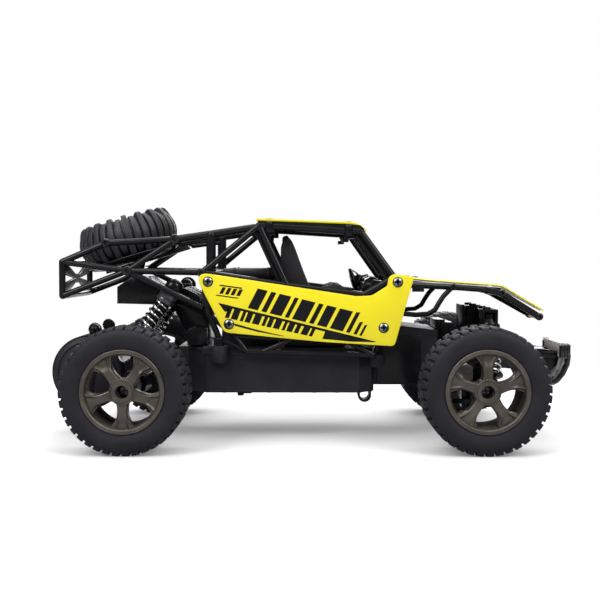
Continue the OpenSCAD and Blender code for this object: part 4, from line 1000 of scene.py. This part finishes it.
def build_front():
    """Ribbed tower with a head over each shock, stepped boxes behind it, and the bumper."""
    s = Shape()
    s.box((79.6, -11, 45.3), (80.9, 11, 65.2))
    s.box((82.0, -11, 45.3), (87.6, 11, 64.8))
    s.box((87.2, -11, 45.3), (95, 11, 63.6))
    s.box((79.8, -8, 45.2), (95, 8, 58.6))
    s.box((66.5, -6, 45.2), (80, 6, 48))
    for side in (-1, 1):
        s.side_box(side, (86.2, 88.4), (10.5, 26.2), (56.8, 63.6))
        s.side_box(side, (93.6, 95), (10.5, 26.2), (56.8, 63.6))
        s.side_box(side, (87.8, 94.2), (10.5, 26.2), (62, 63.6))
        for i in range(3):
            x = 82.3 + i * 1.5
            s.side_box(side, (x, x + 0.8), (10.8, 11.9), (54, 64.4))
        for x in (86.3, 87.5, 93.6, 94.4):
            s.side_box(side, (x, x + 0.6), (26.0, 26.9), (57.1, 63.3))
        for i in range(4):
            x = 89 + i * 1.2
            s.side_box(side, (x, x + 0.6), (26.0, 26.9), (62.1, 63.4))
        for y in (8, 22):
            s.disc(1.9, 63, 64.7, at=(90.2, side * y, 0), axis=2, soft=0.5)
        s.disc(1.9, 64, 65.9, at=(85.4, side * 8, 0), axis=2, soft=0.5)
        s.disc(1.4, 87.6, 94.4, at=(0, side * 22, 60), axis=0, soft=0.2)
    s.make("shock_tower", "chassis", BLACK, bevel=0.22, stands_for=["front_shock_tower"])
    s = Shape()
    s.box((66.2, -13, 45.4), (70.7, 13, 57.9))
    s.box((68.4, -14, 45.4), (74.6, 14, 56.6))
    for side in (-1, 1):
        s.side_box(side, (66.6, 67.6), (12.6, 13.7), (51, 57.4))
        for x in (69.2, 72.4):
            s.side_box(side, (x, x + 1), (13.6, 14.6), (50, 56.2))
    s.make("steering_housing", "chassis", BLACK, bevel=0.35)
    bumper()


def bumper():
    """Silver bar across the nose with vertical ribs behind it, above a skid that narrows to a hoop."""
    s = Shape()
    nose = span("front_bumper")[1].x
    low, high = 38.9, 46.8
    outer = [(127.8, 20), (130.2, 20), (131.6, 19.2), (132.5, 17.4), (133.1, 14), (nose - 0.1, 9), (nose, 4)]
    outer += [(x, -y) for x, y in reversed(outer)]
    inner = [(127.8, 18.7), (129.8, 18.7), (130.7, 17.9), (131.3, 16.4), (131.8, 13.4), (nose - 1.4, 9),
             (nose - 1.3, 4)]
    inner += [(x, -y) for x, y in reversed(inner)]
    rows = []
    for (x0, y0), (x1, y1) in zip(outer, inner):
        top = high - max(0, x0 - 130) * 0.3
        rows.append([(x0, y0, low + 0.5), (x0, y0, top - 0.6), (x0 - 0.3, y0 * 0.99, top), (x1, y1, top),
                     (x1, y1, low), (x0 - 0.3, y0 * 0.99, low)])
    s.grid(rows)
    s.box((130.0, -18.8, low + 0.5), (130.9, 18.8, high - 0.5))
    for i in range(-4, 5):
        front = 130.9 if abs(i) == 4 else 131.6
        s.box((127.5, i * 4.3 - 0.75, low + 0.4), (front, i * 4.3 + 0.75, high - 0.5), taper=0.15)
    s.box((128.2, -18.6, 42.3), (131.4, 18.6, 43.3))
    s.make("bumper_bow", "chassis", SILVER, bevel=0.2, steps=2, smooth=45, stands_for=["front_bumper"])
    # glossy black strips over both ends of the silver bar, and the hoop below: painted dark reflection that
    # the silver shows there
    s = Shape()
    for side in (-1, 1):
        rows = []
        for x, y in ((127.5, 20.25), (130.3, 20.25), (131.8, 19.4), (132.7, 17.5), (133.25, 14),
                     (nose - 0.02, 9.4)):
            rows.append([(x - 0.6, side * (y - 1.2), 39.3), (x, side * y, 39.3), (x, side * y, 45.4),
                         (x - 0.6, side * (y - 1.2), 45.4)])
        s.grid(rows)
        for x, y in ((129.6, 20.2), (131.1, 19.9), (132.3, 18.5)):
            s.disc(0.45, 39.1, 45.7, at=(x, side * y, 0), axis=2, steps=12, soft=0.2)
        s.tube([(131.6, side * 18.0, 40), (131.4, side * 17.0, 36), (130.0, side * 14.2, 31.0),
                (128.4, side * 9.4, 27.0), (127.4, side * 4.6, 25.2), (127.2, 0, 24.7)], 1.45, 16)
    s.make("bumper_hoop_and_ends_dark_reflection", "chassis", GLOSS, bevel=0.12, smooth=45)
    s = Shape()
    lean = Matrix.Translation((130, 0, 40)) @ Matrix.Rotation(radians(13), 4, "Y")
    s.turn = lean @ Matrix.Translation((-130, 0, -40))
    skid = [(17.6, 40.4), (17.0, 36.4), (14.2, 31.2), (9.2, 27.0), (3.6, 25.2)]
    s.prism(skid + [(-y, z) for y, z in reversed(skid)], 129.7, 130.7, axis=0)
    for y, z in ((0, 26), (4.3, 26.4), (8.6, 28.4), (12.9, 32.2), (-4.3, 26.4), (-8.6, 28.4), (-12.9, 32.2)):
        s.box((128.5, y - 0.6, z), (130.9, y + 0.6, 40.2))
    s.make("bumper_skid", "chassis", SILVER, bevel=0.18)
    s = Shape()
    for side in (-1, 1):
        ends = outward(side, 9.3, 11.3)
        s.prism(round_corners([(105.5, 31, 1), (123, 30.6, 1), (128.4, 35.6, 1), (129.8, 39, 0.5),
                               (129.8, 42, 0.5), (118, 43.2, 1), (105.5, 43.2, 1)], 3), *ends)
        s.side_box(side, (118, 127.4), (11, 12.6), (38.4, 41.6))
    s.box((104, -11, 41.3), (122, 11, 43.2), taper=0.3)
    s.make("bumper_bracket", "chassis", BLACK, bevel=0.3)


# ---- shocks ----

WIRE_R = 0.55
FRONT_SHOCK = 35.85      # between the eyes, as in the CAD
REAR_SHOCK = 41.21


def shock_frame(hinge, slide, y=None):
    """Matrix that puts a shock hanging along -Z at its top pivot."""
    pos = Vector(JOINTS[hinge]["pos_m"])
    up = Vector(JOINTS[slide]["axis"]).normalized()
    x = (pos.x - MID_X) / MM
    place = Matrix.Translation((x, pos.y / MM if y is None else y, pos.z / MM))
    return place @ Vector((0, 0, 1)).rotation_difference(up).to_matrix().to_4x4(), up


def shock(label, hinge, slide, body, rod_body, length, eye_axis, y=None, nodes=((), (), ()), coil=4.3,
          drop=0.0, turns=8.5):
    """Shock absorber: a stepped body, a collar over the top of an open chromed coil, and a rod.

    drop lowers the coil's upper end. nodes are the CAD nodes that the body, the rod and the coil stand for.
    """
    place, up = shock_frame(hinge, slide, y)
    barrel = length * 0.56
    seat = -6.1 - drop
    s = Shape()
    s.turn = place
    s.disc(3.0, -2.2, 2.2, axis=eye_axis, steps=32, soft=0.5)
    s.box((-2.1, -2.1, -5), (2.1, 2.1, 0))
    s.lathe([(0.01, -4.4), (3.5, -4.4), (3.5, seat - 1.4)]
            + [(3.5 - (0.22 if k % 2 else 0), seat - 1.9 - 0.5 * k) for k in range(9)]
            + [(3.1, seat - 6.4), (3.1, -barrel + 1.6), (3.4, -barrel + 1.2), (3.4, -barrel + 0.3),
               (3.1, -barrel), (1.25, -barrel), (1.25, -7), (0.01, -7)], axis=2, steps=40)
    s.make(f"{label}_shock_cylinder", body, BLACK, bevel=0.15, stands_for=nodes[0])
    s = Shape()
    s.turn = place
    rim = coil + 0.85
    if drop:
        s.lathe([(2.2, -3.0), (rim - 0.5, -3.0), (rim, -3.5), (rim, -6.2), (rim - 0.3, -6.4),
                 (rim - 0.3, -6.7), (rim, -6.9), (rim, seat + 0.4), (rim - 0.4, seat), (2.2, seat)],
                axis=2, steps=48)
    else:
        s.lathe([(2.2, -4.4), (4.3, -4.4), (rim + 0.2, -4.9), (rim + 0.2, seat), (2.2, seat)],
                axis=2, steps=48)
    s.make(f"{label}_spring_collar", body, COLLAR if drop else BLACK, bevel=0.12)
    s = Shape()
    s.turn = place
    low = -length
    s.lathe([(1.65, -2.2), (3.0, -2.2), (3.0, 2.2), (1.65, 2.2)],
            tuple(low if i == 2 else 0 for i in range(3)), axis=eye_axis, steps=32)
    s.lathe([(0.01, low + 2.5), (2.0, low + 2.5), (2.2, low + 4.2), (rim, low + 4.4), (rim + 0.2, low + 4.8),
             (rim + 0.2, low + 5.4), (rim - 0.1, low + 5.8), (1.2, low + 5.8), (1.2, low * 0.36),
             (0.01, low * 0.36)], axis=2, steps=40)
    s.make(f"{label}_shock_shaft", rod_body, STEEL if not label.startswith("front") else BLACK, bevel=0.12,
           stands_for=nodes[1])
    top_z = seat - WIRE_R
    low_z = low + 5.85 + WIRE_R
    s = Shape()
    s.turn = place
    steps = int(turns * 28)
    flat = 0.06      # share of the wire that is wound close at each end
    wire = []
    for i in range(steps + 1):
        t = i / steps
        u = min(1, max(0, (t - flat) / (1 - 2 * flat)))
        a = 2 * pi * turns * t
        wire.append((coil * cos(a), coil * sin(a), top_z + (low_z - top_z) * (u * 0.94 + t * 0.06)))
    s.sweep(wire, WIRE_R, 10)
    piece = s.make(f"{label}_spring_coil", body, CHROME, smooth=60, stands_for=nodes[2])
    tuple(up)
    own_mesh(piece)


def build_shocks():
    for label, side in SIDES:
        name = f"front_shock_{label}"
        shock(f"front_{label}", name + "_hinge", name + "_slide", name, f"front_shock_rod_{label}",
              FRONT_SHOCK, 0, nodes=([f"front_shock_body_{label}"], [f"front_shock_rod_{label}"],
                                     [f"front_spring_{label}"]))
    for label, side in SIDES:
        nodes = (["rear_shock_bodies"], ["rear_shock_rods"], ["rear_springs"]) if side < 0 else ((), (), ())
        shock(f"rear_{label}", "rear_shocks_hinge", "rear_shocks_slide", "rear_shocks", "rear_shock_rods",
              REAR_SHOCK, 1, y=side * 28.0, nodes=nodes, coil=3.75, drop=2.9, turns=9.5)


def build_rear():
    """Deck with its sloping ribbed cover, the round motor housing and the ends of the shocks' pins."""
    s = Shape()
    shell = [(-93.5, 66.3), (-66, 65.6), (-61, 55), (-58.2, 45.4), (-48.6, 45.4), (-48.6, 59.4), (-51, 66),
             (-52.9, 68.8), (-63, 71.6), (-73.6, 74.2), (-80.2, 79.6), (-86.3, 79.6), (-93.5, 74.6)]
    s.prism(shell, -21, 21)
    for side in (-1, 1):
        ends = outward(side, 20.6, 21.5)
        s.prism([(-93.5, 66.3), (-66.6, 65.9), (-66.6, 67.1), (-93.5, 67.4)], *ends)
        s.disc(3.4, *outward(side, 20, 24.8), at=(-64, 0, 74.5))
        s.disc(1.4, *outward(side, 24, 33), at=(-64, 0, 74.5))
        s.side_box(side, (-67.2, -60.8), (16, 21), (66, 75.4))
    s.make("deck_shell", "chassis", BLACK, bevel=0.5, stands_for=["rear_deck"])
    s = Shape()
    cover = [(-62.8, 71.2), (-62.6, 73.2), (-60.2, 73.6), (-53.6, 70.2), (-50.4, 64.6), (-48.4, 60.2),
             (-48.6, 58)]
    s.prism(cover, -18.5, 18.5)
    ridge = [(-61.8, 73.0), (-60.2, 74.4), (-53.0, 70.9), (-49.7, 64.8), (-50.4, 64.0), (-54, 69.6)]
    for y in (-14.5, -9.5, -4.5, 4.5, 9.5, 14.5):
        s.prism(ridge, y - 0.9, y + 0.9)
    for side in (-1, 1):
        s.prism([(x + 0.4, z + 0.5) for x, z in cover], *outward(side, 18.2, 20.6))
    s.make("deck_cover", "chassis", BLACK, bevel=0.4, steps=3)
    dress("gearbox_case", BLACK, 0.3)
    dress("gearbox_cover", BLACK, 0.3)
    low, high = span("drive_motor")
    motor = ((low.x + high.x) / 2, 0, (low.z + high.z) / 2)
    s = Shape()
    y = -20
    s.lathe([(0.01, y), (0.01, y - 3.2), (6, y - 3.0), (11, y - 2.4), (14.6, y - 1.5), (15.2, y - 1.9),
             (16.2, y - 1.7), (17.7, y - 0.3), (18.2, y + 1.0), (17, y + 1.0)], motor, steps=96)
    s.make("motor_dome", "rear_housing", DARK, smooth=40)
    s = Shape()
    for side in (-1, 1):
        s.disc(3.3, *outward(side, 17.4, 19.6), at=(-105, 0, 53.4), soft=0.6)
    s.make("rear_bar_ends", "rear_housing", DEEP, bevel=0.15)
    s = Shape()
    cap = [(0.01, 31.9), (2.9, 31.9), (2.9, 32.8), (2.2, 33.4), (1.5, 33.4), (1.4, 33.0), (0.01, 33.0)]
    for side in (-1, 1):
        s.lathe([(r, y * side) for r, y in cap], (-88, 0, 41), steps=32)
    s.make("rear_shock_pin_caps", "rear_housing", CHROME, smooth=40)
    s = Shape()
    knob = [(0.01, 30.7), (4.1, 30.7), (4.35, 31.2), (4.3, 32.6), (3.5, 33.8), (2.2, 34.7), (1.2, 34.9),
            (1.0, 34.3), (0.01, 34.2)]
    for side in (-1, 1):
        s.lathe([(r, y * side) for r, y in knob], (-64, 0, 74.5), steps=40)
    s.make("rear_shock_knobs", "chassis", BLACK, smooth=50)


def build_plain():
    """CAD nodes that stay as they are, with rounded edges and their own finish."""
    for node, mat, bevel in (
            ("battery_pack", WRAP, 0.3), ("circuit_board", BOARD, 0.1), ("steering_servo", BLACK, 0.3),
            ("steering_crank", NYLON, 0.2), ("tie_rod", BLACK, 0.25), ("suspension_pins", STEEL, 0.15),
            ("drive_motor", STEEL, 0.3), ("motor_pinion", BRASS, 0.06), ("idler_gear", NYLON, 0.06),
            ("spur_gear", NYLON, 0.06), ("rear_axle", STEEL, 0.15), ("axle_bearings", STEEL, 0.15)):
        dress(node, mat, bevel)
    for label, side in SIDES:
        for part in ("lower_arm", "upper_arm", "carrier", "knuckle"):
            dress(f"{part}_{label}", BLACK, 0.25)
        s = Shape()
        ends = outward(side, 50, 57.2)
        s.prism(round_corners([(71.6, 33.4, 0.8), (71.6, 38.4, 1.2), (75.4, 39.6, 0.8), (78, 38.2, 0),
                               (78, 32.2, 0), (74, 32.4, 1)], 3), *ends)
        s.disc(1.6, *outward(side, 56, 57.9), at=(74.8, 0, 36.2), steps=24, soft=0.4)
        s.make(f"knuckle_lever_{label}", f"knuckle_{label}", NYLON, bevel=0.3)


# ---- stage ----

AMBIENT = 0.24
FADE = (0.19, 0.42)      # distances from the car over which the floor turns plain white
LIFT = 0.17              # glow that softens the shadow on the floor
# name, place in metres, size in metres and power in watts of each soft box
SOFTBOXES = (("key_left", (-0.75, -0.95, 0.95), 0.7, 14.0), ("key_right", (0.85, -0.9, 0.9), 0.6, 11.0),
             ("top", (0.0, 0.15, 1.25), 1.6, 23.0), ("back_strip", (0.1, 1.0, 0.55), 0.8, 9.0))


EYE = (0.0005, -0.552, 0.087)     # metres, from the point midway between the axles
LENS = 64.1
LOOK_DOWN = 2.04                  # degrees
LOOK_LEFT = 0.32


def build_stage():
    """White floor and background, and the soft boxes."""
    floor_mesh = bpy.data.meshes.new("floor")
    bm = bmesh.new()
    bmesh.ops.create_grid(bm, x_segments=2, y_segments=2, size=12)
    bm.to_mesh(floor_mesh)
    bm.free()
    floor = bpy.data.objects.new("floor", floor_mesh)
    bpy.context.scene.collection.objects.link(floor)
    mat = bpy.data.materials.new("floor_white")
    mat.use_nodes = True
    tree = mat.node_tree
    new = node_maker(tree)
    out = tree.nodes["Material Output"]
    shader = tree.nodes["Principled BSDF"]
    shader.inputs["Base Color"].default_value = (0.34, 0.34, 0.35, 1)
    shader.inputs["Roughness"].default_value = 0.7
    # seen directly the floor is near white, with a faint cloudiness; its bounce on the car is weaker
    place = tree.nodes.new("ShaderNodeTexCoord").outputs["Object"]
    clouds = new("TexNoise", Vector=place, Scale=3.0).outputs[0]
    shade = new("ValToRGB", Fac=clouds)
    shade.color_ramp.elements[0].color = (0.60, 0.60, 0.605, 1)
    shade.color_ramp.elements[1].color = (0.625, 0.625, 0.625, 1)
    pale = tree.nodes.new("ShaderNodeAddShader")
    tree.links.new(new("BsdfDiffuse", Color=shade.outputs[0]).outputs[0], pale.inputs[0])
    tree.links.new(new("Emission", Strength=LIFT).outputs[0], pale.inputs[1])
    mix = tree.nodes.new("ShaderNodeMixShader")
    tree.links.new(new("LightPath").outputs["Is Camera Ray"], mix.inputs[0])
    tree.links.new(shader.outputs[0], mix.inputs[1])
    tree.links.new(pale.outputs[0], mix.inputs[2])
    # far from the car the floor melts into the white background
    far = new("VectorMath", Vector=tree.nodes.new("ShaderNodeNewGeometry").outputs["Position"])
    far.operation = "LENGTH"
    fade = new("MapRange", Value=far.outputs["Value"])
    fade.inputs["From Min"].default_value = FADE[0]
    fade.inputs["From Max"].default_value = FADE[1]
    glow = new("Emission", Strength=1.0)
    blend = tree.nodes.new("ShaderNodeMixShader")
    seen = new("Math")
    seen.operation = "MULTIPLY"
    tree.links.new(fade.outputs[0], seen.inputs[0])
    tree.links.new(new("LightPath").outputs["Is Camera Ray"], seen.inputs[1])
    tree.links.new(seen.outputs[0], blend.inputs[0])
    tree.links.new(mix.outputs[0], blend.inputs[1])
    tree.links.new(glow.outputs[0], blend.inputs[2])
    tree.links.new(blend.outputs[0], out.inputs["Surface"])
    floor.data.materials.append(mat)

    world = bpy.data.worlds.new("studio")
    bpy.context.scene.world = world
    world.use_nodes = True
    tree = world.node_tree
    new = node_maker(tree)
    back = tree.nodes["Background"]
    split = new("SeparateXYZ", Vector=tree.nodes.new("ShaderNodeTexCoord").outputs["Generated"])
    ramp = new("ValToRGB", Fac=split.outputs["Z"])
    ramp.color_ramp.elements[0].position = 0.0
    ramp.color_ramp.elements[0].color = (*[AMBIENT * 0.55] * 3, 1)
    ramp.color_ramp.elements[1].position = 0.8
    ramp.color_ramp.elements[1].color = (*[AMBIENT * 1.7] * 3, 1)
    mix = tree.nodes.new("ShaderNodeMix")
    mix.data_type = "RGBA"
    tree.links.new(new("LightPath").outputs["Is Camera Ray"], mix.inputs["Factor"])
    tree.links.new(ramp.outputs[0], mix.inputs["A"])
    mix.inputs["B"].default_value = (1, 1, 1, 1)
    tree.links.new(mix.outputs["Result"], back.inputs["Color"])

    for name, place, size, power in SOFTBOXES:
        light = bpy.data.lights.new(name, "AREA")
        light.energy = power
        light.size = size
        lamp = bpy.data.objects.new(name, light)
        lamp.location = place
        aim = Vector((0, 0, 0.05)) - Vector(place)
        lamp.rotation_euler = aim.to_track_quat("-Z", "Y").to_euler()
        bpy.context.scene.collection.objects.link(lamp)
    bpy.context.scene.view_settings.view_transform = "Standard"


def build_camera():
    """Level with the sill, straight from the right-hand side, a little over half a metre away."""
    camera = bpy.data.cameras.new("camera")
    camera.sensor_width = 36.0
    camera.lens = LENS
    eye = bpy.data.objects.new("camera", camera)
    eye.location = (MID_X + EYE[0], EYE[1], EYE[2])
    eye.rotation_euler = (radians(90 - LOOK_DOWN), 0, radians(LOOK_LEFT))
    bpy.context.scene.collection.objects.link(eye)
    bpy.context.scene.camera = eye


build_wheels()
build_spare()
build_cage()
build_rack()
build_panels()
build_hood()
build_screws()
build_seats()
build_cab()
build_chassis()
build_front()
build_shocks()
build_rear()
build_plain()
build_stage()
build_camera()
